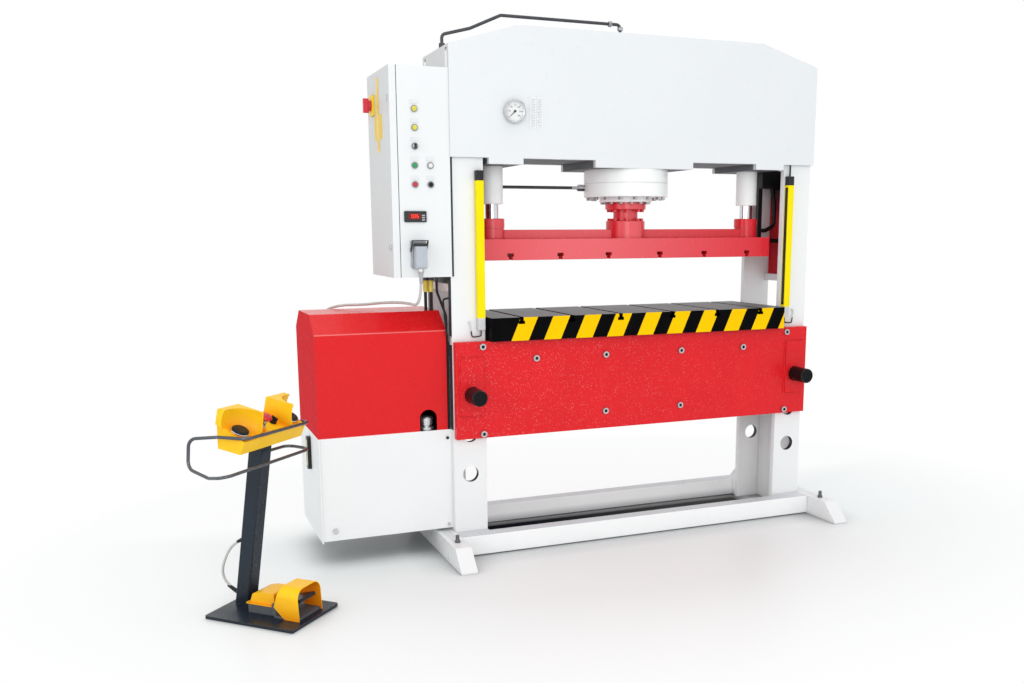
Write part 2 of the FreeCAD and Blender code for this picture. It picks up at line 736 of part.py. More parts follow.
# ----------------------------------------------------------------- frame ----
def make_uprights():
    """Channel-shaped uprights: two flanges, a web below the window and a tie above it."""
    inside = (-POST_Y + PLATE, POST_Y - PLATE)
    flange_top = CROWN_SHOULDER - 2 * CROWN_SKIN
    for name, side in SIDES:
        holes = [rod_y(side * POST_MID, -POST_Y - PAST, POST_Y + PAST, z, PIN_R + PIN_GAP)
                 for z in PIN_HOLE_ZS]
        plates = []
        for y in ((-POST_Y, -POST_Y + PLATE), (POST_Y - PLATE, POST_Y)):
            flange = box(span(side, POST_IN, POST_OUT), y, (0, flange_top))
            plates.append(cut_all(flange, holes))
        plates.append(box(span(side, POST_OUT - PLATE, POST_OUT), inside, (0, BED_TOP)))
        tie_z = (WINDOW_TOP, WINDOW_TOP + TIE_HEIGHT)
        plates.append(box(span(side, POST_OUT - PLATE, POST_OUT), inside, tie_z))
        nodes["upright_" + name] = group(plates)
    cover_z = (WINDOW_TOP + TIE_HEIGHT, COVER_TOP)
    covers = [box(span(side, POST_OUT - COVER_SHEET, POST_OUT), inside, cover_z) for _, side in SIDES]
    nodes["side_covers"] = group(covers)


def crown_outline():
    """Front view of the crown: notched underside, upright ends and bevelled shoulders."""
    right = [
        (BLOCK_X, DRUM_TOP), (BLOCK_X, CROWN_BOTTOM),
        (TAB_IN, CROWN_BOTTOM), (TAB_IN, CROWN_BOTTOM - TAB_DROP),
        (TAB_OUT, CROWN_BOTTOM - TAB_DROP), (TAB_OUT, CROWN_BOTTOM),
        (POST_OUT, CROWN_BOTTOM), (POST_OUT, CROWN_SHOULDER), (CROWN_FLAT_X, CROWN_TOP),
    ]
    return right + [(-x, z) for x, z in reversed(right)]


def make_crown():
    """Two outline plates that sandwich the uprights, a bent top skin, end plates and a floor."""
    front = prism_y(crown_outline(), -CROWN_Y, -POST_Y)
    gauge_hole = rod_y(GAUGE_X, -CROWN_Y - PAST, -POST_Y + PAST, GAUGE_Z, GAUGE_NECK_R)
    nodes["crown_front_plate"] = front.cut(gauge_hole)
    nodes["crown_rear_plate"] = prism_y(crown_outline(), POST_Y, CROWN_Y)
    inner = POST_Y - PLATE
    top = [
        (-POST_OUT, CROWN_SHOULDER), (-CROWN_FLAT_X, CROWN_TOP),
        (CROWN_FLAT_X, CROWN_TOP), (POST_OUT, CROWN_SHOULDER),
    ]
    skin_pieces = []
    for (x0, z0), (x1, z1) in zip(top, top[1:]):
        strip = [(x0, z0), (x1, z1), (x1, z1 - CROWN_SKIN), (x0, z0 - CROWN_SKIN)]
        skin_pieces.append(prism_y(strip, -POST_Y, POST_Y))
    for _, side in SIDES:
        end_z = (CROWN_BOTTOM, CROWN_SHOULDER - CROWN_SKIN)
        skin_pieces.append(box(span(side, POST_OUT - CROWN_SKIN, POST_OUT), (-inner, inner), end_z))
    nodes["crown_shell"] = group(skin_pieces)
    floor = [box((-BLOCK_X, BLOCK_X), (-POST_Y, POST_Y), (DRUM_TOP, FLOOR_TOP)).cut(
        rod_z(0, 0, DRUM_TOP - PAST, FLOOR_TOP + PAST, BARREL_R))]
    for _, side in SIDES:
        floor.append(box(span(side, BLOCK_X, TAB_IN), (-POST_Y, POST_Y), (CROWN_BOTTOM, FLOOR_TOP)))
        tab = box(span(side, TAB_IN, TAB_OUT), (-POST_Y, POST_Y), (CROWN_BOTTOM - TAB_DROP, FLOOR_TOP))
        rod_hole = rod_z(side * GUIDE_X, 0, CROWN_BOTTOM - TAB_DROP - PAST, FLOOR_TOP + PAST,
                         GUIDE_ROD_R + ROD_HOLE_GAP)
        floor.append(tab.cut(rod_hole))
    nodes["crown_floor"] = group(floor)


# ------------------------------------------------------- cylinder and ram ----
def make_cylinder():
    """Cylinder drum under the crown, its barrel inside the crown, the gland ring and the bolts."""
    bore = ROD_R + RUNNING
    barrel_top = DRUM_TOP + BARREL_HEIGHT
    barrel = turned([
        (bore, DRUM_BOTTOM), (DRUM_R - CHAMFER, DRUM_BOTTOM), (DRUM_R, DRUM_BOTTOM + CHAMFER),
        (DRUM_R, SEAM_Z - SEAM_HALF), (DRUM_R - SEAM_DEPTH, SEAM_Z - SEAM_HALF),
        (DRUM_R - SEAM_DEPTH, SEAM_Z + SEAM_HALF), (DRUM_R, SEAM_Z + SEAM_HALF),
        (DRUM_R, DRUM_TOP), (BARREL_R, DRUM_TOP), (BARREL_R, barrel_top), (0, barrel_top),
        (0, barrel_top - BARREL_CAP), (CHAMBER_R, barrel_top - BARREL_CAP),
        (CHAMBER_R, DRUM_BOTTOM + CHAMBER_FLOOR), (bore, DRUM_BOTTOM + CHAMBER_FLOOR),
    ])
    gland_bottom = DRUM_BOTTOM - GLAND_HEIGHT
    gland = turned([
        (bore, gland_bottom), (GLAND_R - CHAMFER, gland_bottom), (GLAND_R, gland_bottom + CHAMFER),
        (GLAND_R, DRUM_BOTTOM), (bore, DRUM_BOTTOM),
    ])
    nodes["cylinder_barrel"] = group([barrel, gland])
    bolts = [hexagon(DRUM_BOLT_ACROSS, x, y, DRUM_BOTTOM - DRUM_BOLT_HEAD, DRUM_BOTTOM)
             for x, y in on_circle(DRUM_BOLT_COUNT, DRUM_BOLT_CIRCLE, DRUM_BOLT_START_DEG)]
    bolts += [hexagon(GLAND_BOLT_ACROSS, x, y, gland_bottom - GLAND_BOLT_HEAD, gland_bottom)
              for x, y in on_circle(GLAND_BOLT_COUNT, GLAND_BOLT_CIRCLE)]
    nodes["cylinder_bolts"] = group(bolts)


def make_ram():
    """Piston with its rod, bolted coupling, slotted beam with ribs, and the two guide columns."""
    piston_bottom = COUPLING_TOP + PISTON_LIFT
    piston_top = piston_bottom + PISTON_HEIGHT
    nodes["piston_rod"] = turned([
        (0, COUPLING_TOP), (ROD_R, COUPLING_TOP), (ROD_R, piston_bottom),
        (CHAMBER_R - RADIAL_GAP, piston_bottom), (CHAMBER_R - RADIAL_GAP, piston_top), (0, piston_top),
    ])
    coupling = turned([
        (0, BEAM_TOP), (COUPLING_LOW_R, BEAM_TOP), (COUPLING_LOW_R, COUPLING_LOW_TOP - CHAMFER),
        (COUPLING_LOW_R - CHAMFER, COUPLING_LOW_TOP), (COUPLING_NECK_R, COUPLING_LOW_TOP),
        (COUPLING_NECK_R, COUPLING_NECK_TOP), (COUPLING_TOP_R - CHAMFER, COUPLING_NECK_TOP),
        (COUPLING_TOP_R, COUPLING_NECK_TOP + CHAMFER), (COUPLING_TOP_R, COUPLING_TOP), (0, COUPLING_TOP),
    ])
    bolts = [hexagon(COUPLING_BOLT_ACROSS, x, y, COUPLING_LOW_TOP, COUPLING_LOW_TOP + COUPLING_BOLT_HEAD)
             for x, y in on_circle(COUPLING_BOLT_COUNT, COUPLING_LOW_CIRCLE, COUPLING_BOLT_START_DEG)]
    bolts += [hexagon(COUPLING_BOLT_ACROSS, x, y, COUPLING_NECK_TOP - COUPLING_BOLT_HEAD, COUPLING_NECK_TOP)
              for x, y in on_circle(COUPLING_BOLT_COUNT, COUPLING_TOP_CIRCLE, COUPLING_BOLT_START_DEG)]
    nodes["ram_coupling"] = group([coupling] + bolts)

    depth = (-BEAM_DEPTH / 2, BEAM_DEPTH / 2)
    beam = box((-BEAM_X, BEAM_X), depth, (BEAM_BOTTOM, BEAM_TOP))
    beam = cut_all(beam, t_slots(BEAM_BOTTOM, 1, BEAM_DEPTH / 2))
    rib_z = (BEAM_TOP, BEAM_TOP + RIB_HEIGHT)
    round_parts = [rod_z(0, 0, BEAM_TOP - PAST, CROWN_BOTTOM, COUPLING_LOW_R)]
    for _, side in SIDES:
        round_parts.append(rod_z(side * GUIDE_X, 0, BEAM_TOP - PAST, CROWN_BOTTOM, GUIDE_BOSS_R))
    ribs = []
    for _, side in SIDES:
        rib = box(span(side, COUPLING_LOW_R / 2, GUIDE_X), (-RIB_WIDTH / 2, RIB_WIDTH / 2), rib_z)
        ribs.append(cut_all(rib, round_parts))
    nodes["pressing_beam"] = group([beam] + ribs)

    boss_top = BEAM_TOP + GUIDE_BOSS_HEIGHT
    boss_mid = BEAM_TOP + GUIDE_BOSS_HEIGHT / 2
    boss_profile = [
        (GUIDE_ROD_R, BEAM_TOP), (GUIDE_BOSS_R, BEAM_TOP), (GUIDE_BOSS_R, boss_mid - SEAM_HALF),
        (GUIDE_BOSS_R - SEAM_DEPTH, boss_mid - SEAM_HALF), (GUIDE_BOSS_R - SEAM_DEPTH, boss_mid + SEAM_HALF),
        (GUIDE_BOSS_R, boss_mid + SEAM_HALF), (GUIDE_BOSS_R, boss_top - CHAMFER),
        (GUIDE_BOSS_R - CHAMFER, boss_top), (GUIDE_ROD_R, boss_top),
    ]
    sleeve_top = CROWN_BOTTOM - TAB_DROP
    sleeve_bottom = sleeve_top - SLEEVE_LENGTH
    sleeve_bore = GUIDE_ROD_R + RUNNING
    sleeve_profile = [
        (sleeve_bore, sleeve_bottom), (SLEEVE_R - CHAMFER, sleeve_bottom),
        (SLEEVE_R, sleeve_bottom + CHAMFER), (SLEEVE_R, sleeve_top), (sleeve_bore, sleeve_top),
    ]
    xs = [side * GUIDE_X for _, side in SIDES]
    nodes["guide_bosses"] = group([turned(boss_profile, x) for x in xs])
    nodes["guide_rods"] = group([rod_z(x, 0, BEAM_TOP, BEAM_TOP + GUIDE_ROD_LENGTH, GUIDE_ROD_R) for x in xs])
    nodes["guide_sleeves"] = group([turned(sleeve_profile, x) for x in xs])


# ------------------------------------------------------- bed, table, base ----
def socket_bolt(x, z, front):
    """Socket-head bolt on the bed's front (front=-1) or rear (front=+1) plate."""
    y = span(front, BED_Y, BED_Y + SOCKET_HEAD)
    key_y = span(front, BED_Y + SOCKET_HEAD - SOCKET_KEY_DEPTH, BED_Y + SOCKET_HEAD + PAST)
    return rod_y(x, y[0], y[1], z, SOCKET_HEAD_R).cut(rod_y(x, key_y[0], key_y[1], z, SOCKET_KEY_R))


def make_bed():
    """Front and rear bed plates with pin doublers, held apart by bars and carried by two pins."""
    for name, front in (("front", -1), ("rear", 1)):
        plate_y = span(front, POST_Y, BED_Y)
        doubler_y = span(front, BED_Y, BED_Y + DOUBLER_THICK)
        reach = BED_Y + DOUBLER_THICK + PAST
        holes = [rod_y(side * POST_MID, -reach, reach, PIN_Z, PIN_R + RADIAL_GAP) for _, side in SIDES]
        plates = [cut_all(box((-BED_X, BED_X), plate_y, (BED_BOTTOM, BED_TOP)), holes)]
        for _, side in SIDES:
            middle = PIN_Z + DOUBLER_RISE
            doubler_x = span(side, POST_MID - DOUBLER_WIDTH / 2, POST_MID + DOUBLER_WIDTH / 2)
            doubler_z = (middle - DOUBLER_HEIGHT / 2, middle + DOUBLER_HEIGHT / 2)
            plates.append(cut_all(box(doubler_x, doubler_y, doubler_z), holes))
        nodes["bed_" + name + "_plate"] = group(plates)
    ties = []
    for _, side in SIDES:
        for x, z in TIE_BAR_PLACES:
            ties.append(rod_y(side * x, -POST_Y, POST_Y, z, TIE_BAR_R))
        for x, z in TIE_BAR_PLACES + CORNER_BOLT_PLACES:
            ties += [socket_bolt(side * x, z, -1), socket_bolt(side * x, z, 1)]
    nodes["bed_ties"] = group(ties)
    for name, side in SIDES:
        x = side * POST_MID
        pin = rod_y(x, -PIN_FRONT, PIN_BACK, PIN_Z, PIN_R)
        ends = [e for e in pin.Edges if isinstance(e.Curve, Part.Circle)]
        nodes["pin_" + name] = pin.makeChamfer(CHAMFER, ends)


def make_table():
    table = box((-TABLE_X, TABLE_X), (-TABLE_Y, TABLE_Y), (BED_TOP, TABLE_TOP))
    table = soften(table, TABLE_CHAMFER, Z_AXIS)
    nodes["table"] = cut_all(table, t_slots(TABLE_TOP, -1, TABLE_Y))


def make_base():
    """Cross beams in front of and behind the uprights, and a long foot outside each upright."""
    beam_z = (BASE_GROUND_GAP, BASE_GROUND_GAP + BASE_HEIGHT)
    pieces = []
    for front in (-1, 1):
        beam_y = span(front, CROWN_Y, CROWN_Y + BASE_BEAM_DEPTH)
        pieces.append(box((-POST_OUT, POST_OUT), beam_y, beam_z))
        for _, side in SIDES:
            pieces.append(box(span(side, POST_IN, POST_OUT), span(front, POST_Y, CROWN_Y), beam_z))
    nodes["base_beams"] = group(pieces)
    profile = [
        (-FOOT_HALF_LENGTH, 0), (FOOT_HALF_LENGTH, 0), (FOOT_HALF_LENGTH, FOOT_LIP),
        (FOOT_HALF_TOP, FOOT_HEIGHT), (-FOOT_HALF_TOP, FOOT_HEIGHT), (-FOOT_HALF_LENGTH, FOOT_LIP),
    ]
    stud_x = POST_OUT + FOOT_WIDTH / 2
    feet = []
    studs = []
    for _, side in SIDES:
        x = span(side, POST_OUT, POST_OUT + FOOT_WIDTH)
        holes = [rod_z(side * stud_x, y, -PAST, FOOT_HEIGHT + PAST, STUD_R)
                 for y in (STUD_FRONT_Y, STUD_REAR_Y)]
        feet.append(cut_all(prism_x(profile, x[0], x[1]), holes))
        for y in (STUD_FRONT_Y, STUD_REAR_Y):
            top = FOOT_HEIGHT + STUD_ABOVE
            studs.append(turned([
                (0, 0), (STUD_R, 0), (STUD_R, FOOT_HEIGHT), (STUD_NUT_R, FOOT_HEIGHT),
                (STUD_NUT_R, FOOT_HEIGHT + STUD_NUT / 2), (STUD_R, FOOT_HEIGHT + STUD_NUT),
                (STUD_R, top), (0, top),
            ], side * stud_x, y))
    nodes["feet"] = group(feet)
    nodes["levelling_studs"] = group(studs)


# ------------------------------------------------- gauge, plate, curtains ----
def make_gauge():
    """Dial gauge let into the crown's front plate; its pointer turns on the dial."""
    front = -CROWN_Y - GAUGE_DEPTH
    dial = front + GAUGE_DIAL_DEPTH
    nodes["gauge_case"] = turned_y([
        (0, dial), (GAUGE_DIAL_R, dial), (GAUGE_DIAL_R, front), (GAUGE_R, front), (GAUGE_R, -CROWN_Y),
        (GAUGE_NECK_R, -CROWN_Y), (GAUGE_NECK_R, -POST_Y), (0, -POST_Y),
    ], GAUGE_X, GAUGE_Z)
    hub_y = dial - RADIAL_GAP
    blade_y = (hub_y - 2 * NEEDLE_THICK, hub_y - NEEDLE_THICK)
    hub = rod_y(GAUGE_X, blade_y[0] - NEEDLE_THICK, hub_y, GAUGE_Z, NEEDLE_HUB_R)
    blade = prism_y([
        (GAUGE_X - NEEDLE_WIDTH / 2, GAUGE_Z), (GAUGE_X + NEEDLE_WIDTH / 2, GAUGE_Z),
        (GAUGE_X, GAUGE_Z - NEEDLE_LENGTH),
    ], blade_y[0], blade_y[1])
    blade.rotate(VEC(GAUGE_X, 0, GAUGE_Z), Y_AXIS, NEEDLE_REST_DEG)
    nodes["gauge_needle"] = hub.fuse(blade)
    nodes["chart_plate"] = box(CHART_X, (-CROWN_Y - CHART_THICK, -CROWN_Y), CHART_Z)


def make_curtains():
    """Light-curtain bars on the uprights' front faces, with brackets, end caps and short leads."""
    fittings = []
    y = (-POST_Y - CURTAIN_DEPTH, -POST_Y)
    middle = -POST_Y - CURTAIN_DEPTH / 2
    low, high = CURTAIN_Z
    cap_z = low - CURTAIN_CAP
    for name, side in SIDES:
        x = span(side, CURTAIN_X - CURTAIN_WIDTH / 2, CURTAIN_X + CURTAIN_WIDTH / 2)
        bar = soften(box(x, y, CURTAIN_Z), CURTAIN_CORNER, Z_AXIS)
        inner = CURTAIN_X - CURTAIN_WIDTH / 2
        recess = box(span(side, inner - PAST, inner + CURTAIN_WINDOW),
                     (y[0] + CURTAIN_WINDOW_SIDE, y[1] - CURTAIN_WINDOW_SIDE),
                     (low + CURTAIN_WINDOW_END, high - CURTAIN_WINDOW_END))
        nodes["light_curtain_" + name] = bar.cut(recess)
        fittings.append(recess.common(box(x, y, CURTAIN_Z)))
        fittings.append(soften(box(x, y, (high, high + CURTAIN_BRACKET)), CURTAIN_END_CORNER, Z_AXIS))
        fittings.append(soften(box(x, y, (cap_z, low)), CURTAIN_END_CORNER, Z_AXIS))
        side_x, side_z = CURTAIN_LEAD_SIDE
        end_x, end_z = CURTAIN_LEAD_END
        fittings.append(tube([
            (side * CURTAIN_X, middle, cap_z), (side * CURTAIN_X, middle, cap_z - CURTAIN_LEAD_DROP),
            (side * (CURTAIN_X + side_x), middle, cap_z + side_z),
            (side * (CURTAIN_X + end_x), middle, cap_z + end_z),
            (side * (CURTAIN_X + end_x), -POST_Y, cap_z + end_z),
        ], CURTAIN_LEAD_R, CURTAIN_LEAD_BEND))
    stay_y = -CROWN_Y + PLATE / 2 - CURTAIN_STAY_R
    fittings.append(rod_z(CURTAIN_X, stay_y, high + CURTAIN_BRACKET, CROWN_BOTTOM, CURTAIN_STAY_R))
    nodes["curtain_fittings"] = group(fittings)


# --------------------------------------------------------------- cabinet ----
def hinge_half(x, z):
    """Knuckle of a hinge and its leaf on the cabinet's or the door's back, over the given spans."""
    knuckle = rod_z(DOOR_X, HINGE_Y, z[0], z[1], HINGE_R)
    leaf = box(x, (CABINET_BACK, CABINET_BACK + HINGE_LEAF_THICK), z)
    return [knuckle, leaf.cut(rod_z(DOOR_X, HINGE_Y, z[0] - PAST, z[1] + PAST, HINGE_R))]


def make_cabinet():
    """Sheet cabinet open on its left, closed there by a hinged tray-shaped door."""
    y = (CABINET_FRONT, CABINET_BACK)
    z = (CABINET_BOTTOM, CABINET_TOP)
    s = CABINET_SHEET
    inner_y = (y[0] + s, y[1] - s)
    inner_z = (z[0] + s, z[1] - s)
    holes = [rod_y(x0, y[0] - PAST, y[0] + s + PAST, z0, BUTTON_R + RADIAL_GAP)
             for x0, z0 in LAMP_PLACES + BORED_PLACES]
    shell = box((DOOR_X, CABINET_X1), y, z)
    room = box((DOOR_X - PAST, CABINET_X1 - s), inner_y, inner_z)
    nodes["cabinet_body"] = cut_all(shell.cut(room), holes)

    plate_y = (y[0] + GEAR_PLATE_MARGINS[0], y[1] - GEAR_PLATE_MARGINS[0])
    plate_z = (z[0] + GEAR_PLATE_MARGINS[1], z[1] - GEAR_PLATE_MARGINS[1])
    plate_x = CABINET_X1 - STANDOFF
    fittings = [box((plate_x - CONTROL_GEAR_PLATE, plate_x), plate_y, plate_z)]
    for dy in (y[0] + STANDOFF_MARGINS[0], y[1] - STANDOFF_MARGINS[0]):
        for dz in (z[0] + STANDOFF_MARGINS[1], z[1] - STANDOFF_MARGINS[1]):
            fittings.append(rod_x(plate_x, CABINET_X1 - s, dy, dz, STANDOFF_R))
    door_fittings = []
    for hz in HINGE_ZS:
        fittings += hinge_half((DOOR_X, DOOR_X + HINGE_BODY_LEAF), (hz, hz + HINGE_LENGTH))
        door_fittings += hinge_half((DOOR_X - HINGE_DOOR_LEAF, DOOR_X),
                                    (hz - HINGE_LENGTH - RADIAL_GAP, hz - RADIAL_GAP))
    nodes["cabinet_fittings"] = group(fittings + panel_fittings())

    tray = box((CABINET_X0, DOOR_X - DOOR_GAP), y, z)
    nodes["cabinet_door"] = tray.cut(box((CABINET_X0 + s, DOOR_X), inner_y, inner_z))
    for ly, lz in LOCK_PLACES:
        door_fittings.append(rod_x(CABINET_X0 - LOCK_OUT, CABINET_X0, ly, lz, LOCK_R))
    door_fittings.append(box((CABINET_X0 - PLATE_THICK, CABINET_X0), PLATE_Y, PLATE_Z))
    half_y, half_z = SWITCH_BASE_HALF
    switch_base = box((CABINET_X0 - SWITCH_BASE, CABINET_X0), (SWITCH_Y - half_y, SWITCH_Y + half_y),
                      (SWITCH_Z - half_z, SWITCH_Z + half_z))
    door_fittings.append(soften(switch_base, SWITCH_CORNER, X_AXIS))
    nodes["door_fittings"] = group(door_fittings)

    dial_x = CABINET_X0 - SWITCH_BASE - RADIAL_GAP
    dial = rod_x(dial_x - SWITCH_DIAL, dial_x, SWITCH_Y, SWITCH_Z, SWITCH_DIAL_R)
    half_y, half_z = SWITCH_GRIP_HALF
    grip = box((dial_x - SWITCH_GRIP_REACH, dial_x - SWITCH_GRIP_SUNK),
               (SWITCH_Y - half_y, SWITCH_Y + half_y), (SWITCH_Z - half_z, SWITCH_Z + half_z))
    nodes["main_switch"] = dial.fuse(soften(grip, SWITCH_CORNER, X_AXIS))


def panel_fittings():
    """Lamps, bezels, label plates and timer on the cabinet's front."""
    front = CABINET_FRONT
    face = front - PANEL_BEZEL
    fittings = []
    for x, z in LAMP_PLACES:
        fittings.append(rod_y(x, face, front, z, PANEL_CONTROL_R))
        fittings.append(turned_y([
            (0, face - LAMP_LENS), (LAMP_CROWN_R, face - LAMP_LENS), (LAMP_LENS_R, face - LAMP_LENS / 2),
            (LAMP_LENS_R, face), (0, face),
        ], x, z))
    for x, z in BORED_PLACES:
        ring = rod_y(x, face, front, z, PANEL_CONTROL_R)
        fittings.append(ring.cut(rod_y(x, face - PAST, front + PAST, z, BUTTON_R + RADIAL_GAP)))
    half_x, half_z = LABEL_HALF
    for x, z in LAMP_PLACES + BORED_PLACES:
        label_z = (z + LABEL_RISE - half_z, z + LABEL_RISE + half_z)
        fittings.append(box((x - half_x, x + half_x), (front - LABEL_THICK, front), label_z))
    case_front = front - TIMER_OUT
    case = soften(box(TIMER_X, (case_front, front), TIMER_Z), TIMER_CORNER, Y_AXIS)
    window_x = (TIMER_X[0] + DISPLAY_SIDES[0], TIMER_X[1] - DISPLAY_SIDES[1])
    window_z = (TIMER_Z[0] + DISPLAY_ENDS[0], TIMER_Z[1] - DISPLAY_ENDS[1])
    recess_y = case_front + DISPLAY_RECESS
    fittings.append(case.cut(box(window_x, (case_front - PAST, recess_y), window_z)))
    fittings.append(box(window_x, (recess_y - DISPLAY_THICK, recess_y), window_z))
    return fittings


def make_buttons():
    """Push-button caps and the selector, each with its barrel through the panel."""
    out = CABINET_FRONT - PANEL_BEZEL - BUTTON_OUT
    caps = {}
    for name, (x, z) in dict(BUTTON_PLACES, panel_selector=SELECTOR_PLACE).items():
        cap = rod_y(x, out, CABINET_FRONT + BUTTON_BARREL, z, BUTTON_R)
        rims = [e for e in cap.Edges if isinstance(e.Curve, Part.Circle)]
        caps[name] = cap.makeChamfer(BUTTON_CHAMFER, rims)
    x, z = SELECTOR_PLACE
    half_x, half_z = SELECTOR_GRIP_HALF
    grip = box((x - half_x, x + half_x), (CABINET_FRONT - PANEL_BEZEL - SELECTOR_GRIP, out + PAST),
               (z - half_z, z + half_z))
    caps["panel_selector"] = caps["panel_selector"].fuse(soften(grip, SELECTOR_GRIP_CORNER, Y_AXIS))
    nodes.update(caps)


def make_connector():
    """Heavy-duty cable connector: panel base, hood with a gland below, and a locking lever."""
    front = CABINET_FRONT
    low, high = CONNECTOR_Z
    base_front = front - CONNECTOR_BASE
    base = soften(box(CONNECTOR_X, (base_front, front), CONNECTOR_Z), CONNECTOR_BASE_CORNER, Y_AXIS)
    hood = box((CONNECTOR_X[0] + CONNECTOR_HOOD_INSET, CONNECTOR_X[1] - CONNECTOR_HOOD_INSET),
               (base_front - CONNECTOR_HOOD, base_front), (low, high - CONNECTOR_HOOD_DROP))
    hood = soften(soften(hood, CONNECTOR_HOOD_CORNER, X_AXIS), CONNECTOR_HOOD_EDGE, Z_AXIS)
    taper_in, taper_up = CONNECTOR_GLAND_TAPER
    gland = turned([
        (0, CABLE_TOP), (CONNECTOR_GLAND_R - taper_in, CABLE_TOP), (CONNECTOR_GLAND_R, CABLE_TOP + taper_up),
        (CONNECTOR_GLAND_R, low), (0, low),
    ], CABLE_X, CABLE_Y)
    x0 = CONNECTOR_X[0] - RADIAL_GAP - LEVER_THICK
    x1 = CONNECTOR_X[1] + RADIAL_GAP + LEVER_THICK
    pivot_y = front - CONNECTOR_BASE / 2
    pivot = rod_x(x0, x1, pivot_y, LEVER_PIVOT_Z, LEVER_PIVOT_R)
    nodes["connector"] = group([base.fuse(pivot), hood, gland])

    top_y, top_z = base_front - LEVER_REACH, high - LEVER_TOP_DROP
    half = LEVER_WIDTH / 2
    profile = [
        (pivot_y + half, LEVER_PIVOT_Z - half), (pivot_y + half, LEVER_PIVOT_Z + half),
        (top_y + half, top_z + half), (top_y - half, top_z + half),
        (top_y - half, top_z - half), (pivot_y - half, LEVER_PIVOT_Z - half),
    ]
    arms = [prism_x(profile, x0, x0 + LEVER_THICK), prism_x(profile, x1 - LEVER_THICK, x1)]
    bow = box((x0, x1), (top_y - half, top_y + half), (top_z + half - LEVER_THICK, top_z + half))
    bore = rod_x(x0 - PAST, x1 + PAST, pivot_y, LEVER_PIVOT_Z, LEVER_PIVOT_R + RUNNING)
    nodes["connector_lever"] = bow.fuse(arms).cut(bore)


# ------------------------------------------------------------ power pack ----
def hood_outline(inset):
    """Side view of the hood: upright walls, bevelled shoulders and a flat top."""
    y0 = PACK_FRONT + inset
    y1 = PACK_BACK - inset
    top = HOOD_TOP - inset
    shoulder = HOOD_TOP - HOOD_BEVEL_Z - inset * 0.5
    return [
        (y0, TANK_TOP), (y1, TANK_TOP), (y1, shoulder), (PACK_BACK - HOOD_BEVEL_Y, top),
        (PACK_FRONT + HOOD_BEVEL_Y, top), (y0, shoulder),
    ]


def make_power_pack():
    """Oil tank bolted to the left upright, its fittings, and the sheet hood over the motor."""
    x = (PACK_X0 + SIDE_PLATE, PACK_X1)
    y = (PACK_FRONT, PACK_BACK)
    z = (TANK_BOTTOM, TANK_TOP)
    s = TANK_SHEET
    shell = box(x, y, z).cut(box((x[0] + s, x[1] - s), (y[0] + s, y[1] - s), (z[0] + s, z[1] - s)))
    side_plate = box((PACK_X0, PACK_X0 + SIDE_PLATE), (y[0] - SIDE_PLATE, y[1]),
                     (z[0] - SIDE_PLATE_DROP, z[1]))
    nodes["tank"] = group([shell, side_plate])

    outer = prism_x(hood_outline(0), PACK_X0, HOOD_X1)
    inner = prism_x(hood_outline(HOOD_SHEET), PACK_X0 + HOOD_SHEET, HOOD_X1 - HOOD_SHEET)
    arch_y = (y[0] - PAST, y[0] + HOOD_SHEET + PAST)
    arch_r = (ARCH_X[1] - ARCH_X[0]) / 2
    arch_spring = TANK_TOP + ARCH_HEIGHT - arch_r
    arch_tools = [
        box(ARCH_X, arch_y, (TANK_TOP - PAST, arch_spring)),
        rod_y(FILLER_X, arch_y[0], arch_y[1], arch_spring, arch_r),
    ]
    nodes["hood"] = cut_all(outer.cut(inner), arch_tools)

    fittings = []
    screw_x = PACK_X1 - FLANGE_SCREW_INSET
    for sz in (TANK_TOP - FLANGE_SCREW_DROP, TANK_BOTTOM + FLANGE_SCREW_RISE):
        fittings.append(rod_y(screw_x, y[0] - FLANGE_SCREW_HEAD, y[0], sz, FLANGE_SCREW_R))
    fittings.append(rod_y(PACK_X0 + DRAIN_INSET, y[0] - DRAIN_OUT, y[0], TANK_BOTTOM + DRAIN_RISE, DRAIN_R))
    level_z = (TANK_TOP - LEVEL_DROPS[0], TANK_TOP - LEVEL_DROPS[1])
    fittings.append(soften(box((PACK_X0 - LEVEL_OUT, PACK_X0), LEVEL_Y, level_z), LEVEL_CORNER, X_AXIS))
    filler = [(r, TANK_TOP + rise) for r, rise in FILLER_PROFILE]
    fittings.append(turned(filler, FILLER_X, FILLER_Y))
    box_x = (CABLE_BOX_X - CABLE_BOX_HALF, CABLE_BOX_X + CABLE_BOX_HALF)
    fittings.append(box(box_x, (PACK_BACK, CABLE_BOX_Y + CABLE_BOX_WALL), CABLE_BOX_Z))
    gland = [(r, CABLE_BOX_Z[1] + rise) for r, rise in CABLE_GLAND_PROFILE]
    fittings.append(turned(gland, CABLE_BOX_X, CABLE_BOX_Y))
    nodes["tank_fittings"] = group(fittings)


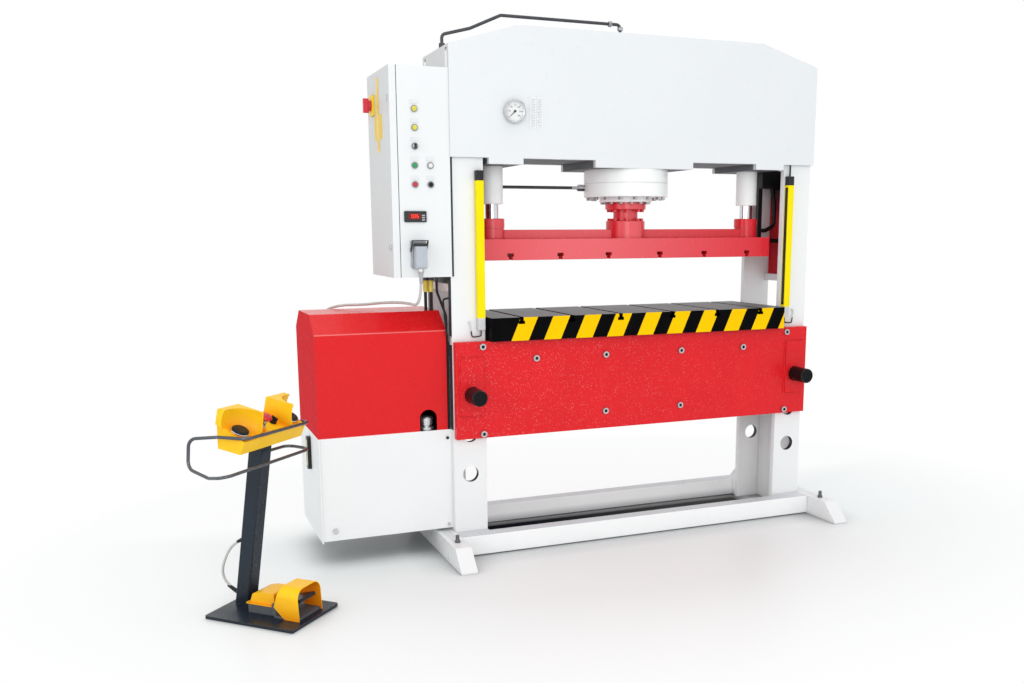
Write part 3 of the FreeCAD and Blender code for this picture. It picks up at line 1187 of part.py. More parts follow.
# ------------------------------------------------ pipes, conduits, cables ----
def make_pipes():
    """Steel pressure pipes: one over the crown, one from the left upright to the drum."""
    left = -POST_OUT
    slope = CROWN_RISE / CROWN_BEVEL
    shoulder_x = left + SHOULDER_INSET
    shoulder_z = CROWN_SHOULDER + SHOULDER_INSET * slope
    nut_top = shoulder_z + SHOULDER_NUT
    fitting_top = CROWN_TOP + TOP_PIPE_NUT_HEIGHT
    knees = [(left + inset, y, CROWN_TOP + rise) for inset, y, rise in TOP_PIPE_KNEES]
    top_pipe = tube(
        [(shoulder_x, SHOULDER_Y, nut_top), (shoulder_x, SHOULDER_Y, shoulder_z + SHOULDER_RISE)] + knees +
        [(TOP_PIPE_X, 0, CROWN_TOP + TOP_PIPE_RISE), (TOP_PIPE_X, 0, fitting_top)], PIPE_R, PIPE_TIGHT_BEND)
    under_skin = prism_y([
        (left, CROWN_BOTTOM), (left, CROWN_SHOULDER), (-CROWN_FLAT_X, CROWN_TOP),
        (-CROWN_FLAT_X, CROWN_BOTTOM),
    ], -POST_Y, POST_Y)
    shoulder_nut = rod_z(shoulder_x, SHOULDER_Y, CROWN_SHOULDER, nut_top, SHOULDER_NUT_R).cut(under_skin)
    top_nut = hexagon(TOP_PIPE_NUT, TOP_PIPE_X, 0, CROWN_TOP, fitting_top)

    low_y = SLEEVE_R + PIPE_R + PIPE_CLEARANCE
    low_z = DRUM_BOTTOM + DRUM_PIPE_DROP
    drum_x = -math.sqrt(DRUM_R ** 2 - low_y ** 2)
    low_pipe = tube([
        (-POST_MID, low_y, FLOOR_TOP), (-POST_MID, low_y, low_z), (drum_x - DRUM_NUT, low_y, low_z),
    ], PIPE_R, PIPE_BEND)
    drum_nut = rod_x(drum_x - DRUM_NUT, drum_x + DRUM_NUT_SUNK, low_y, low_z, DRUM_NUT_R)
    drum_nut = drum_nut.cut(rod_z(0, 0, DRUM_BOTTOM, DRUM_TOP, DRUM_R))
    nodes["steel_pipes"] = group([top_pipe, shoulder_nut, top_nut, low_pipe, drum_nut])


def make_conduits():
    """Flexible conduits from the cabinet's underside into the hood, and two leads down the upright."""
    left = -POST_OUT
    under = CABINET_BOTTOM
    pieces = []
    for inset, y, hose_r, fitting_r in CONDUIT_SPECS:
        x = left - inset
        sleeve_top = under - CONDUIT_NUT
        hose_top = sleeve_top - CONDUIT_SLEEVE
        pieces.append(rod_z(x, y, sleeve_top, under, fitting_r + CONDUIT_NUT_WALL))
        pieces.append(rod_z(x, y, hose_top, sleeve_top, fitting_r))
        pieces.append(rod_z(x, y, HOOD_TOP, hose_top, hose_r))
    gap_x = left - HOOD_GAP / 2
    thick_x = left - THICK_LEAD_INSET
    near_y, far_y = THICK_LEAD_YS
    pieces.append(tube([
        (thick_x, near_y, under), (thick_x, near_y, under - THICK_LEAD_DROPS[0]),
        (gap_x, far_y, under - THICK_LEAD_DROPS[1]), (gap_x, far_y, TANK_TOP),
    ], THICK_LEAD_R, THICK_LEAD_BEND))
    thin_x = left + THIN_LEAD_INWARD
    thin_z = under - THIN_LEAD_DROP
    knees = [(left - inset, y, under - drop) for inset, y, drop in THIN_LEAD_KNEES]
    pieces.append(tube(
        [(thin_x, -POST_Y + PLATE, thin_z), (thin_x, far_y, thin_z)] + knees +
        [(knees[-1][0], knees[-1][1], TANK_TOP)], THIN_LEAD_R, THIN_LEAD_BEND))
    nodes["conduits"] = group(pieces)


def make_sensor_unit():
    """Position sensor inside the right upright: box, upright bar and the conduit between them."""
    y = SENSOR_Y
    low, high = SENSOR_Z
    foot = SENSOR_BAR_Z
    back = POST_OUT - PLATE - SENSOR_BACK
    wall = POST_OUT - COVER_SHEET
    bar_x = (POST_IN + SENSOR_BAR_X[0], POST_IN + SENSOR_BAR_X[1])
    sensor_box = box((POST_IN + SENSOR_INSET, back), (y - SENSOR_HALF, y + SENSOR_HALF), SENSOR_Z)
    bar = box(bar_x, (y - SENSOR_BAR_HALF, y + SENSOR_BAR_HALF), (foot, low))
    conduit = tube([(POST_IN + inset, y, foot + rise) for inset, rise in SENSOR_CONDUIT],
                   SENSOR_CONDUIT_R, SENSOR_CONDUIT_BEND).cut(sensor_box)
    stay_z = (foot + SENSOR_STAY_RISES[0], foot + SENSOR_STAY_RISES[1])
    stay = box((bar_x[1], wall), (y - SENSOR_STAY_HALF, y + SENSOR_STAY_HALF), stay_z)
    shelf_z = (COVER_TOP - SENSOR_SHELF_DROPS[0], COVER_TOP - SENSOR_SHELF_DROPS[1])
    shelf = box((back, wall), (y - SENSOR_SHELF_HALF, y + SENSOR_SHELF_HALF), shelf_z)
    nodes["sensor_unit"] = group([sensor_box, bar, conduit, stay, shelf])


# -------------------------------------------------------------- pedestal ----
def on_pedestal(shape):
    """Turn and move a shape from the pedestal's own axes to its place on the floor."""
    shape.rotate(ORIGIN, Z_AXIS, PEDESTAL_TURN_DEG)
    shape.translate(VEC(PEDESTAL_X, PEDESTAL_Y, 0))
    return shape


def leaning(shape):
    """Lean a shape with the column about the column's foot, then place it with the pedestal."""
    shape.translate(VEC(0, COLUMN_Y, PLINTH_TOP))
    shape.rotate(VEC(0, COLUMN_Y, PLINTH_TOP), X_AXIS, PEDESTAL_LEAN_DEG)
    return on_pedestal(shape)


def on_desk(shape):
    """Place a control whose foot is at z = 0 on the console's sloping top."""
    shape.translate(VEC(0, -CONSOLE_TOP_Y, COLUMN_LENGTH + CONSOLE_FRONT_HEIGHT))
    shape.rotate(VEC(0, -CONSOLE_TOP_Y, COLUMN_LENGTH + CONSOLE_FRONT_HEIGHT), X_AXIS, DESK_SLOPE_DEG)
    return leaning(shape)


def desk_height(y):
    """Height of the console's top above its underside at y."""
    return CONSOLE_FRONT_HEIGHT + (y + CONSOLE_TOP_Y) * math.tan(math.radians(DESK_SLOPE_DEG))


def make_pedestal():
    """Plinth plate on four pads, a leaning column, and the glands of the lead behind it."""
    half_x, half_y = PLINTH_LENGTH / 2, PLINTH_DEPTH / 2
    plinth = soften(box((-half_x, half_x), (-half_y, half_y), (PLINTH_GROUND_GAP, PLINTH_TOP)),
                    PLINTH_CORNER, Z_AXIS)
    pad_x = half_x - PLINTH_PAD_INSET
    pad_y = half_y - PLINTH_PAD_INSET
    pads = [rod_z(sx * pad_x, sy * pad_y, 0, PLINTH_GROUND_GAP, PLINTH_PAD_R)
            for sx in (-1, 1) for sy in (-1, 1)]
    half = COLUMN / 2
    column = box((COLUMN_X - half, COLUMN_X + half), (-half, half), (-COLUMN_SUNK, COLUMN_LENGTH))
    column = leaning(soften(column, COLUMN_CORNER, Z_AXIS))
    above = on_pedestal(box((-half_y, half_y), (-half_y, half_y), (PLINTH_TOP, 2 * COLUMN_LENGTH)))
    column = column.common(above)
    glands = []
    for end, beside in ((LEAD_POINTS[0], LEAD_POINTS[1]), (LEAD_POINTS[-1], LEAD_POINTS[-2])):
        end, beside = VEC(*end), VEC(*beside)
        gland = Part.makeCylinder(LEAD_GLAND_R, LEAD_GLAND, end, end - beside)
        glands.append(on_pedestal(gland).cut(column))
    pieces = [on_pedestal(piece) for piece in [plinth] + pads]
    nodes["pedestal"] = group(pieces + [column] + glands)


def make_console():
    """Two-hand console: sloping desk with a scooped hood over the palm button at each end."""
    low = COLUMN_LENGTH
    front = low + CONSOLE_FRONT_HEIGHT
    back = low + desk_height(CONSOLE_TOP_Y)
    body = prism_x([
        (-CONSOLE_LOW_Y, low), (CONSOLE_LOW_Y, low), (CONSOLE_TOP_Y, back), (-CONSOLE_TOP_Y, front),
    ], CONSOLE_X[0], CONSOLE_X[1])
    hood_front = (-CONSOLE_TOP_Y + HOOD_LEAN_IN[0], low + HOOD_RISE - HOOD_FRONT_DROP)
    hood_back = (CONSOLE_TOP_Y - HOOD_LEAN_IN[1], low + HOOD_RISE)
    left = (CONSOLE_X[0] - HOOD_PROUD, CONSOLE_X[0] + SCOOP_INSET)
    right = (CONSOLE_X[1] + HOOD_PROUD - HOOD_LENGTH, CONSOLE_X[1] - SCOOP_INSET)
    hoods = []
    for x0, scoop_x in (left, right):
        block = prism_x([(-CONSOLE_TOP_Y, front), (CONSOLE_TOP_Y, back), hood_back, hood_front],
                        x0, x0 + HOOD_LENGTH)
        upper = [e for e in block.Edges if is_along(e, X_AXIS) and e.BoundBox.ZMin > back + HOOD_CORNER]
        block = block.makeFillet(HOOD_CORNER, upper)
        hoods.append(block.cut(Part.makeSphere(SCOOP_R, VEC(scoop_x, SCOOP_Y, low + SCOOP_RISE))))
    console = body.fuse(hoods).removeSplitter()
    pieces = [leaning(console)]
    for x, t in DESK_CONTROLS["palms"]:
        bore = rod_z(x, t, -PAST, COLLAR + PAST, PALM_STEM_R + RADIAL_GAP)
        pieces.append(on_desk(rod_z(x, t, 0, COLLAR, PALM_COLLAR_R).cut(bore)))
    x, t = DESK_CONTROLS["stop"]
    bore = rod_z(x, t, -PAST, STOP_COLLAR + PAST, STOP_STEM_R + RADIAL_GAP)
    pieces.append(on_desk(rod_z(x, t, 0, STOP_COLLAR, STOP_COLLAR_R).cut(bore)))
    nodes["console_body"] = group(pieces)


def make_desk_controls():
    """Palm buttons, emergency stop and selector knob on the console's sloping top."""
    foot = PALM_TRAVEL + RADIAL_GAP
    under = COLLAR + foot
    (crown_in, crown_up), crown_top = PALM_CROWN
    for name, (x, t) in zip(("palm_button_left", "palm_button_right"), DESK_CONTROLS["palms"]):
        nodes[name] = on_desk(turned([
            (0, foot), (PALM_STEM_R, foot), (PALM_STEM_R, under), (PALM_R, under), (PALM_R, PALM_HEIGHT),
            (PALM_R - crown_in, PALM_HEIGHT + crown_up), (0, PALM_HEIGHT + crown_top),
        ], x, t))
    x, t = DESK_CONTROLS["stop"]
    foot = STOP_TRAVEL + RADIAL_GAP
    head = [(STOP_R - inward, STOP_HEIGHT - down) for inward, down in STOP_HEAD]
    nodes["emergency_stop"] = on_desk(turned(
        [(0, foot), (STOP_STEM_R, foot), (STOP_STEM_R, STOP_HEIGHT - STOP_STEM_DROP)] + head +
        [(0, STOP_HEIGHT)], x, t))
    x, t = DESK_CONTROLS["knob"]
    knob_top = KNOB_HEIGHT * KNOB_SHARE
    knob = rod_z(x, t, RADIAL_GAP, knob_top, KNOB_R)
    grip = box((x - KNOB_GRIP_HALF, x + KNOB_GRIP_HALF), (t - KNOB_R, t + KNOB_R),
               (knob_top - PAST, KNOB_HEIGHT))
    nodes["console_selector"] = on_desk(knob.fuse(grip))


def make_rail():
    """Bent rod guard in front of the console, welded to the console's end and the column."""
    route = [(x, DESK_FOOT_Y + y, DESK_FOOT_Z + z) for x, y, z in RAIL_ROUTE]
    rail = tube(route, RAIL_R, RAIL_BEND, "guard_rail")
    nodes["guard_rail"] = on_pedestal(rail).cut(nodes["console_body"]).cut(nodes["pedestal"])


def arch(half, top, corner, y0, y1):
    """Upside-down U section block, rounded at its top corners."""
    block = box((-half, half), (y0, y1), (PLINTH_TOP, top))
    upper = [e for e in block.Edges if is_along(e, Y_AXIS) and e.BoundBox.ZMin > PLINTH_TOP + PAST]
    return block.makeFillet(corner, upper)


def make_pedal():
    """Foot switch: grey base, yellow cover with an arched guard, and a black treadle."""
    floor = PLINTH_TOP
    rear_y, rear_top = PEDAL_REAR_Y, floor + PEDAL_REAR_HEIGHT
    front_top = floor + PEDAL_FRONT_HEIGHT
    pivot_y, pivot_z = TREADLE_PIVOT_Y, TREADLE_PIVOT_Z
    rear = box((-PEDAL_HALF_REAR, PEDAL_HALF_REAR), rear_y, (floor, rear_top))
    front = box((-PEDAL_HALF_FRONT, PEDAL_HALF_FRONT), (PEDAL_FRONT_Y, rear_y[0]), (floor, front_top))
    cheek_y = (pivot_y - TREADLE_HUB_R - YOKE_FRONT, pivot_y + TREADLE_HUB_R)
    cheeks = [box(span(side, TREADLE_HALF + TREADLE_SIDE_GAP, PEDAL_HALF_FRONT), cheek_y,
                  (front_top, pivot_z + YOKE_ABOVE)) for _, side in SIDES]
    hinge_pin = rod_x(-PEDAL_HALF_FRONT, PEDAL_HALF_FRONT, pivot_y, pivot_z, TREADLE_PIN_R)
    yoke = hinge_pin.fuse(cheeks).cut(rear)
    nodes["pedal_base"] = on_pedestal(group([rear, front, yoke]))

    outer = arch(PEDAL_HALF_FRONT + GUARD_SHEET, GUARD_TOP, GUARD_CORNER, GUARD_Y[0], GUARD_Y[1])
    inner = arch(PEDAL_HALF_FRONT, GUARD_TOP - GUARD_SHEET, GUARD_CORNER - GUARD_SHEET,
                 GUARD_Y[0] - PAST, GUARD_Y[1] + PAST)
    side_view = [(GUARD_FOOT_Y[0], floor), (GUARD_FOOT_Y[1], floor)] + list(GUARD_SIDE)
    guard_half = PEDAL_HALF_FRONT + GUARD_SHEET + PAST
    guard = outer.cut(inner).common(prism_x(side_view, -guard_half, guard_half))
    plate_half = PEDAL_HALF_REAR + COVER_BRIM
    plate_top = rear_top + COVER_PLATE
    plate = box((-plate_half, plate_half), COVER_Y, (rear_top, plate_top))
    hump = prism_x([(COVER_BACK, plate_top)] + list(COVER_HUMP) + [
        (COVER_Y[0], COVER_HUMP[-1][1]), (COVER_Y[0], plate_top),
    ], -PEDAL_HALF_REAR + COVER_INSET, PEDAL_HALF_REAR - COVER_INSET)
    cover = plate.fuse(soften(hump, COVER_CORNER, X_AXIS).common(hump))
    nodes["pedal_guard"] = on_pedestal(group([guard, cover]))

    root = [(pivot_y + dy, pivot_z + dz) for dy, dz in TREADLE_ROOT]
    treadle = prism_x(root + list(TREADLE_TIP), -TREADLE_HALF, TREADLE_HALF)
    treadle = treadle.fuse(rod_x(-TREADLE_HALF, TREADLE_HALF, pivot_y, pivot_z, TREADLE_HUB_R))
    bore = rod_x(-TREADLE_HALF - PAST, TREADLE_HALF + PAST, pivot_y, pivot_z, TREADLE_PIN_R + RUNNING)
    nodes["treadle"] = on_pedestal(treadle.cut(bore))


def make_cords():
    """The cabinet's free cable and the short lead behind the pedestal's column."""
    nodes["control_cable"] = tube(CABLE_POINTS, CABLE_R, name="control_cable")
    lead = tube(LEAD_POINTS, LEAD_R, name="pedestal_lead")
    nodes["pedestal_lead"] = on_pedestal(lead)


def export():
    os.makedirs("parts", exist_ok=True)
    for name, shape in nodes.items():
        if not shape.isValid():
            print("not valid:", name)
        if any(solid.Volume <= 0 for solid in shape.Solids) or not shape.Solids:
            print("no volume:", name)
        shape.exportStep("parts/" + name + ".step")
    print(len(nodes), "nodes,", sum(len(shape.Solids) for shape in nodes.values()), "solids")


make_uprights()
make_crown()
make_cylinder()
make_ram()
make_bed()
make_table()
make_base()
make_gauge()
make_curtains()
make_cabinet()
make_buttons()
make_connector()
make_power_pack()
make_pipes()
make_conduits()
make_sensor_unit()
make_pedestal()
make_console()
make_desk_controls()
make_rail()
make_pedal()
make_cords()
export()
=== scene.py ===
"""Looks of the hydraulic press: materials, lighting, camera and the fine detail on the CAD frame.

Metres, in the same frame as the solids: +Z up, +X the press's right, the operator at -Y.
"""

import math

import bmesh
import bpy
from mathutils import Matrix, Vector


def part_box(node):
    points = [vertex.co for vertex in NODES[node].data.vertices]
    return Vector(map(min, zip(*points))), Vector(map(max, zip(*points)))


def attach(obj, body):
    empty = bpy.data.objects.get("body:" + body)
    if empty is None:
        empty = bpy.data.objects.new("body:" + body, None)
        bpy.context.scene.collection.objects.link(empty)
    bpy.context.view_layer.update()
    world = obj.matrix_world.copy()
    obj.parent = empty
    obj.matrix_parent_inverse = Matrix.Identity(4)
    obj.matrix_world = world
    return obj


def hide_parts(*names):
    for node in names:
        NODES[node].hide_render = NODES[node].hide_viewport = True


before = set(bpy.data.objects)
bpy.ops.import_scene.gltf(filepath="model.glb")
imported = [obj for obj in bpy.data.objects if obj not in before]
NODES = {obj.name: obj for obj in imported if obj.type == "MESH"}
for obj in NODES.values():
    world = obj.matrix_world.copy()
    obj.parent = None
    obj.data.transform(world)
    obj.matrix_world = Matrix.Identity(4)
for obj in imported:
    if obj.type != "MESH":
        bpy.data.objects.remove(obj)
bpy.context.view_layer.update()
scene = bpy.context.scene

# ---- camera, as fitted to the photograph ----
IMAGE_WIDTH = 1024
IMAGE_HEIGHT = 683
FOCAL_PIXELS = 997.3
AXIS_PIXEL = (543.6, 407.1)
CAMERA_PLACE = (-2.1524, -4.2722, 1.4147)
CAMERA_YAW, CAMERA_PITCH, CAMERA_ROLL = (math.radians(a) for a in (22.1, 10.1, -0.2))
SENSOR = 36.0

# ---- light: name, place, size, power ----
LIGHTS = (
    ("key", (-1.9, -6.8, 2.6), 3.0, 96.0),
    ("fill", (-6.2, -3.2, 2.4), 2.6, 40.0),
    ("top", (0.2, -0.4, 6.0), 4.0, 44.0),
)
LIGHT_AIM = Vector((-0.3, 0.0, 1.1))
AMBIENT = 0.88

# ---- places that the detail is set out from ----
POST_X = 0.835
BOSS_X = 0.663
HOLE_R = 0.0358
HOLE_PITCH = 0.180
GAUGE_MIDDLE = Vector((-0.628, -0.211, 1.9035))
DIAL_R = 0.042
# degrees: where the scale begins, how far it runs, clockwise
DIAL_START, DIAL_SWEEP = 225, 270
DIAL_TICKS, DIAL_NUMBERS = 30, 6
TICK_END, NUMBER_R = 0.039, 0.0245
# the bed's bolt heads, on both sides of the middle: across, height
BOLT_PLACES = [(0.535, 0.855), (0.195, 0.855), (0.195, 0.595), (0.784, 0.917), (0.784, 0.533)]
PEDESTAL_PLACE = Vector((-1.761, -0.598, 0.0))
PEDESTAL_TURN = math.radians(46.0)
DESK_AXIS = Vector((0.322091, -0.31104, 0.894154))
TABLE_FRONT = -0.232
TABLE_TOP = 1.041
STRIPE_FOOT = TABLE_TOP - 0.102
STRIPE_PITCH = 0.153
STRIPE_SHARE = 0.53
STRIPE_START = -0.6615
STRIPE_LEAN = 0.44
LAMP_X = -1.058
LAMP_ZS = (1.899, 1.8245)
LAMP_R = 0.0108
DIGIT_HEIGHT, DIGIT_WIDTH, DIGIT_STROKE = 0.0130, 0.0066, 0.0020
DIGIT_X, DIGIT_PITCH, DIGIT_Z = -1.0765, 0.0105, 1.470

# ---- weld beads ----
WELD_STEP, WELD_SIDES = 0.004, 8
CIRCLE_CORNERS = 96
DOUBLER_HALF, DOUBLER_THICK = 0.0525, 0.012
DOUBLER_Z = (0.618, 0.870)
BOSS_BEAD_R = 0.0575
RIB_Y = 0.0305
RIB_ENDS = (0.098, 0.602)
BEAM_Y = 0.1705
BEAM_ENDS = (0.762, 0.908)
BEAM_BEAD_Z = 0.0925
FOOT_BEAD_X = 0.9105
FOOT_BEAD_Z = (0.007, 0.090)

# ---- cords ----
CABLE_DIAMETER = 0.012
CABLE_POINTS = [
    (-1.056, -0.230, 1.240), (-1.056, -0.230, 1.098), (-1.078, -0.050, 1.106), (-1.135, 0.088, 1.100),
    (-1.222, 0.172, 1.086), (-1.310, 0.245, 1.083), (-1.368, 0.340, 1.052), (-1.390, 0.394, 0.965),
    (-1.393, 0.402, 0.835), (-1.395, 0.392, 0.690), (-1.395, 0.392, 0.545),
]
LEAD_DIAMETER = 0.010
LEAD_POINTS = [
    # across the pedestal, back from its middle, height
    (0.015, 0.133, 0.268), (0.015, 0.178, 0.246), (0.013, 0.216, 0.190), (0.011, 0.236, 0.128),
    (0.013, 0.216, 0.082), (0.016, 0.173, 0.057),
]


# ---- shader parts ----
def rgba(color):
    """A colour with its alpha; a socket passes through."""
    return color if isinstance(color, bpy.types.NodeSocket) else (*color, 1.0)


def grey(value):
    return (value,) * 3


def dim(color, share):
    return [v * share for v in color]


class Nodes:
    """An emptied node tree, with short calls for adding and joining nodes."""

    def __init__(self, owner):
        owner.use_nodes = True
        self.tree = owner.node_tree
        self.tree.nodes.clear()

    def add(self, kind, inputs=None, **settings):
        """New node; an input that is given a socket is linked to it."""
        node = self.tree.nodes.new(kind)
        for key, value in settings.items():
            setattr(node, key, value)
        for key, value in (inputs or {}).items():
            if isinstance(value, bpy.types.NodeSocket):
                self.tree.links.new(value, node.inputs[key])
            else:
                node.inputs[key].default_value = value
        return node

    def math(self, operation, a, b=0.0, c=0.0):
        return self.add("ShaderNodeMath", {0: a, 1: b, 2: c}, operation=operation).outputs[0]

    def times(self, value, *others):
        for other in others:
            value = self.math("MULTIPLY", value, other)
        return value

    def either(self, value, *others):
        """The largest of the values."""
        for other in others:
            value = self.math("MAXIMUM", value, other)
        return value

    def above(self, value, limit):
        return self.math("GREATER_THAN", value, limit)

    def below(self, value, limit):
        return self.math("LESS_THAN", value, limit)

    def minus(self, a, b):
        return self.math("SUBTRACT", a, b)

    def inverse(self, share):
        return self.minus(1.0, share)

    def dot(self, a, b):
        return self.add("ShaderNodeVectorMath", {0: a, 1: b}, operation="DOT_PRODUCT").outputs["Value"]

    def blend(self, share, a, b):
        """Surface a where share is 0 and surface b where it is 1."""
        return self.add("ShaderNodeMixShader", {0: share, 1: a.outputs[0], 2: b.outputs[0]})

    def end(self, kind, surface):
        self.add(kind, {"Surface": surface.outputs[0]})


class Shader(Nodes):
    """A new material, name_finish, with calls for the patterns that the finishes are made of."""

    def __init__(self, name):
        self.material = bpy.data.materials.new(name + "_finish")
        super().__init__(self.material)
        self.place = self.add("ShaderNodeTexCoord").outputs["Object"]
        self.heights = None

    def axes(self, place=None):
        parts = self.add("ShaderNodeSeparateXYZ", {0: place or self.place}).outputs
        return parts["X"], parts["Y"], parts["Z"]

    def scaled(self, x, y, z, offset=(0, 0, 0)):
        node = self.add("ShaderNodeMapping", {"Vector": self.place})
        node.inputs["Scale"].default_value = (x, y, z)
        node.inputs["Location"].default_value = offset
        return node.outputs[0]

    def noise(self, scale, detail=3.0, rough=0.55, place=None):
        return self.add("ShaderNodeTexNoise", {
            "Vector": place or self.place, "Scale": scale, "Detail": detail, "Roughness": rough,
        }).outputs[0]

    def cells(self, scale, feature="SMOOTH_F1"):
        voronoi = self.add("ShaderNodeTexVoronoi", {"Vector": self.place, "Scale": scale}, feature=feature)
        return voronoi.outputs["Distance"]

    def remap(self, value, low, high, to_low=0.0, to_high=1.0):
        return self.add("ShaderNodeMapRange", {
            "Value": value, "From Min": low, "From Max": high, "To Min": to_low, "To Max": to_high,
        }).outputs[0]

    def mix(self, share, a, b):
        """Colour a where share is 0 and colour b where it is 1."""
        return self.add("ShaderNodeMix", {0: share, 6: rgba(a), 7: rgba(b)}, data_type="RGBA").outputs[2]

    def inside(self, low, high):
        """1 inside the box from low to high, 0 outside it; None leaves a side of the box open."""
        tests = []
        for axis, a, b in zip(self.axes(), low, high):
            if a is not None:
                tests.append(self.above(axis, a))
            if b is not None:
                tests.append(self.below(axis, b))
        return self.times(*tests)

    def near(self, centre, radius, flat):
        """1 within the radius of the centre, with the axis numbered flat left out of the distance."""
        scale = [0.0 if i == flat else 1.0 for i in range(3)]
        offset = [-c * s for c, s in zip(centre, scale)]
        length = self.add("ShaderNodeVectorMath", {0: self.scaled(*scale, offset)}, operation="LENGTH")
        return self.below(length.outputs["Value"], radius)

    def tone(self, color, amount, scale, place=None):
        """The colour with slow light and dark patches over the surface."""
        light = [min(1.0, v) for v in dim(color, 1 + amount)]
        patches = self.remap(self.noise(scale, 4.0, 0.6, place), 0.3, 0.7)
        return self.mix(patches, dim(color, 1 - amount), light)

    def sheen(self, scale, low, high, detail=3.0):
        """Roughness that wanders between low and high over the surface."""
        return self.remap(self.noise(scale, detail), 0.3, 0.7, low, high)

    def raise_by(self, height, depth):
        """Adds a relief of the given depth in metres to the surface's bumps."""
        inputs = {"Strength": 1.0, "Distance": depth, "Height": height}
        if self.heights is not None:
            inputs["Normal"] = self.heights
        self.heights = self.add("ShaderNodeBump", inputs).outputs[0]

    def grain(self, scale, depth, detail=3.0):
        self.raise_by(self.noise(scale, detail), depth)

    def normal(self, which="True Normal"):
        return self.add("ShaderNodeNewGeometry").outputs[which]

    def facing(self, x, y, z, least=0.9):
        """1 where the surface faces the given way."""
        return self.above(self.dot(self.normal(), (x, y, z)), least)

    def finish(self, color, rough, metallic=0.0, coat=0.0, coat_rough=0.08, level=0.22,
               glow=None, matte=None):
        """Ends the tree in a glossy surface, made dull by the share in matte, and gives the material."""
        inputs = {
            "Base Color": rgba(color), "Roughness": rough, "Metallic": metallic, "Coat Weight": coat,
            "Coat Roughness": coat_rough, "Specular IOR Level": level,
        }
        if glow is not None:
            inputs |= {"Emission Color": rgba(glow), "Emission Strength": 1.0}
        if self.heights is not None:
            inputs["Normal"] = self.heights
        surface = self.add("ShaderNodeBsdfPrincipled", inputs)
        if matte is not None:
            dull = self.add("ShaderNodeBsdfDiffuse", {"Color": color, "Roughness": 0.5})
            surface = self.blend(matte, surface, dull)
        self.end("ShaderNodeOutputMaterial", surface)
        return self.material


def grime(s, color, amount, reach=0.12):
    """Faint grey dust on the lowest part of the machine and in slow patches."""
    height = s.remap(s.axes()[2], 0, reach, 1, 0)
    patches = s.remap(s.noise(9, 5, 0.65), 0.35, 0.75)
    share = s.times(height, patches, amount)
    return s.mix(share, color, (0.25, 0.24, 0.22))


def crevice_shade(s, color, dark, distance=0.015, amount=0.5):
    """Painted shade: darkens the narrow corners and hollows, where light does not reach."""
    hollow = s.add("ShaderNodeAmbientOcclusion", {"Distance": distance}, samples=4).outputs["AO"]
    return s.mix(s.remap(hollow, 0.35, 0.9, amount, 0), color, dark)


def edges(s, color, light, radius=0.002, amount=0.4):
    """Paint rubbed thin and lighter along the sharp edges, broken up by a fine noise."""
    rounded = s.add("ShaderNodeBevel", {"Radius": radius}, samples=4).outputs[0]
    worn = s.remap(s.dot(rounded, s.normal("Normal")), 0.99, 0.93)
    broken = s.remap(s.noise(60, 4, 0.7), 0.4, 0.6)
    return s.mix(s.times(worn, broken, amount), color, light)


def enamel(name, color, rough=0.30, coat=0.05, peel=1e-5, wear=None, dust=0.05, marks=None):
    """Sprayed gloss enamel: slow tone, orange peel, dust low down, painted shade in its corners; marks adds
    a piece's own painted shade or painted highlight.
    """
    s = Shader(name)
    c = grime(s, s.tone(color, 0.012, 1.7), dust)
    if marks:
        # painted shade or painted highlight of this piece
        c = marks(s, c)
    c = crevice_shade(s, c, dim(color, 0.6))
    if wear:
        c = edges(s, c, wear)
    s.grain(5, 1.2e-4, 1)
    s.grain(260, peel, 2)
    return s.finish(c, s.sheen(30, rough - 0.04, rough + 0.06, 4), coat=coat)


def painted_left_shade(s, c):
    """Painted shade: greyer colour on the faces that look to the left."""
    return s.mix(s.facing(-1, 0, 0), c, (0.60, 0.605, 0.61))


def painted_hole_shade(s, c):
    """Painted shade: near-black walls in the holes that the bed's pins go through."""
    low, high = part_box("pin_left")
    top = (low.z + high.z) / 2
    holes = [s.near((x, 0, top - step * HOLE_PITCH), HOLE_R + 0.0004, flat=1)
             for x in (-POST_X, POST_X) for step in range(3)]
    plain = s.either(s.facing(0, -1, 0), s.facing(0, 1, 0))
    # painted shade on the bore walls
    wall = s.times(s.either(*holes), s.inverse(plain))
    return s.mix(wall, c, (0.02, 0.02, 0.024))


def painted_beam_shade(s, c):
    """Painted shade: greyer tops on the base beams, and a painted shadow along the foot of the rear one."""
    _, y, z = s.axes()
    c = s.mix(s.times(s.facing(0, 0, 1), 0.8), c, (0.56, 0.58, 0.62))
    foot = s.times(s.above(y, 0), s.remap(z, 0.010, 0.042, 0.6, 0))
    return s.mix(foot, c, (0.34, 0.35, 0.37))


def painted_ram_highlight(s, c):
    """Painted highlight: pale pink on the front of the left and middle of the ram."""
    front = s.remap(s.times(s.axes(s.normal())[1], -1), 0.5, 1)
    share = s.remap(s.math("ABSOLUTE", s.math("ADD", s.axes()[0], 0.30)), 0.10, 1.00, 0.80, 0.02)
    return s.mix(s.times(front, share), c, (0.84, 0.16, 0.18))


def hammered(name, color):
    """Thick textured enamel: small dimples, low swells and light specks where the dimples catch dust."""
    s = Shader(name)
    c = s.tone(color, 0.05, 3)
    blotch = s.remap(s.noise(42, 5, 0.7), 0.45, 0.70)
    c = s.mix(s.times(blotch, 0.18), c, dim(color, 0.75))
    specks = s.remap(s.cells(105, "F1"), 0.34, 0.12)
    sparse = s.remap(s.noise(20, 6, 0.8), 0.42, 0.62)
    sparse = s.times(sparse, s.remap(s.axes()[0], -0.9, 0.6, 0.62, 0.22))
    c = s.mix(s.times(specks, sparse), c, (0.93, 0.36, 0.34))
    c = crevice_shade(s, c, dim(color, 0.5))
    s.grain(16, 0.0004)
    s.raise_by(s.cells(95), 0.0005)
    return s.finish(c, s.sheen(70, 0.26, 0.42, 4), coat=0.10, coat_rough=0.15)


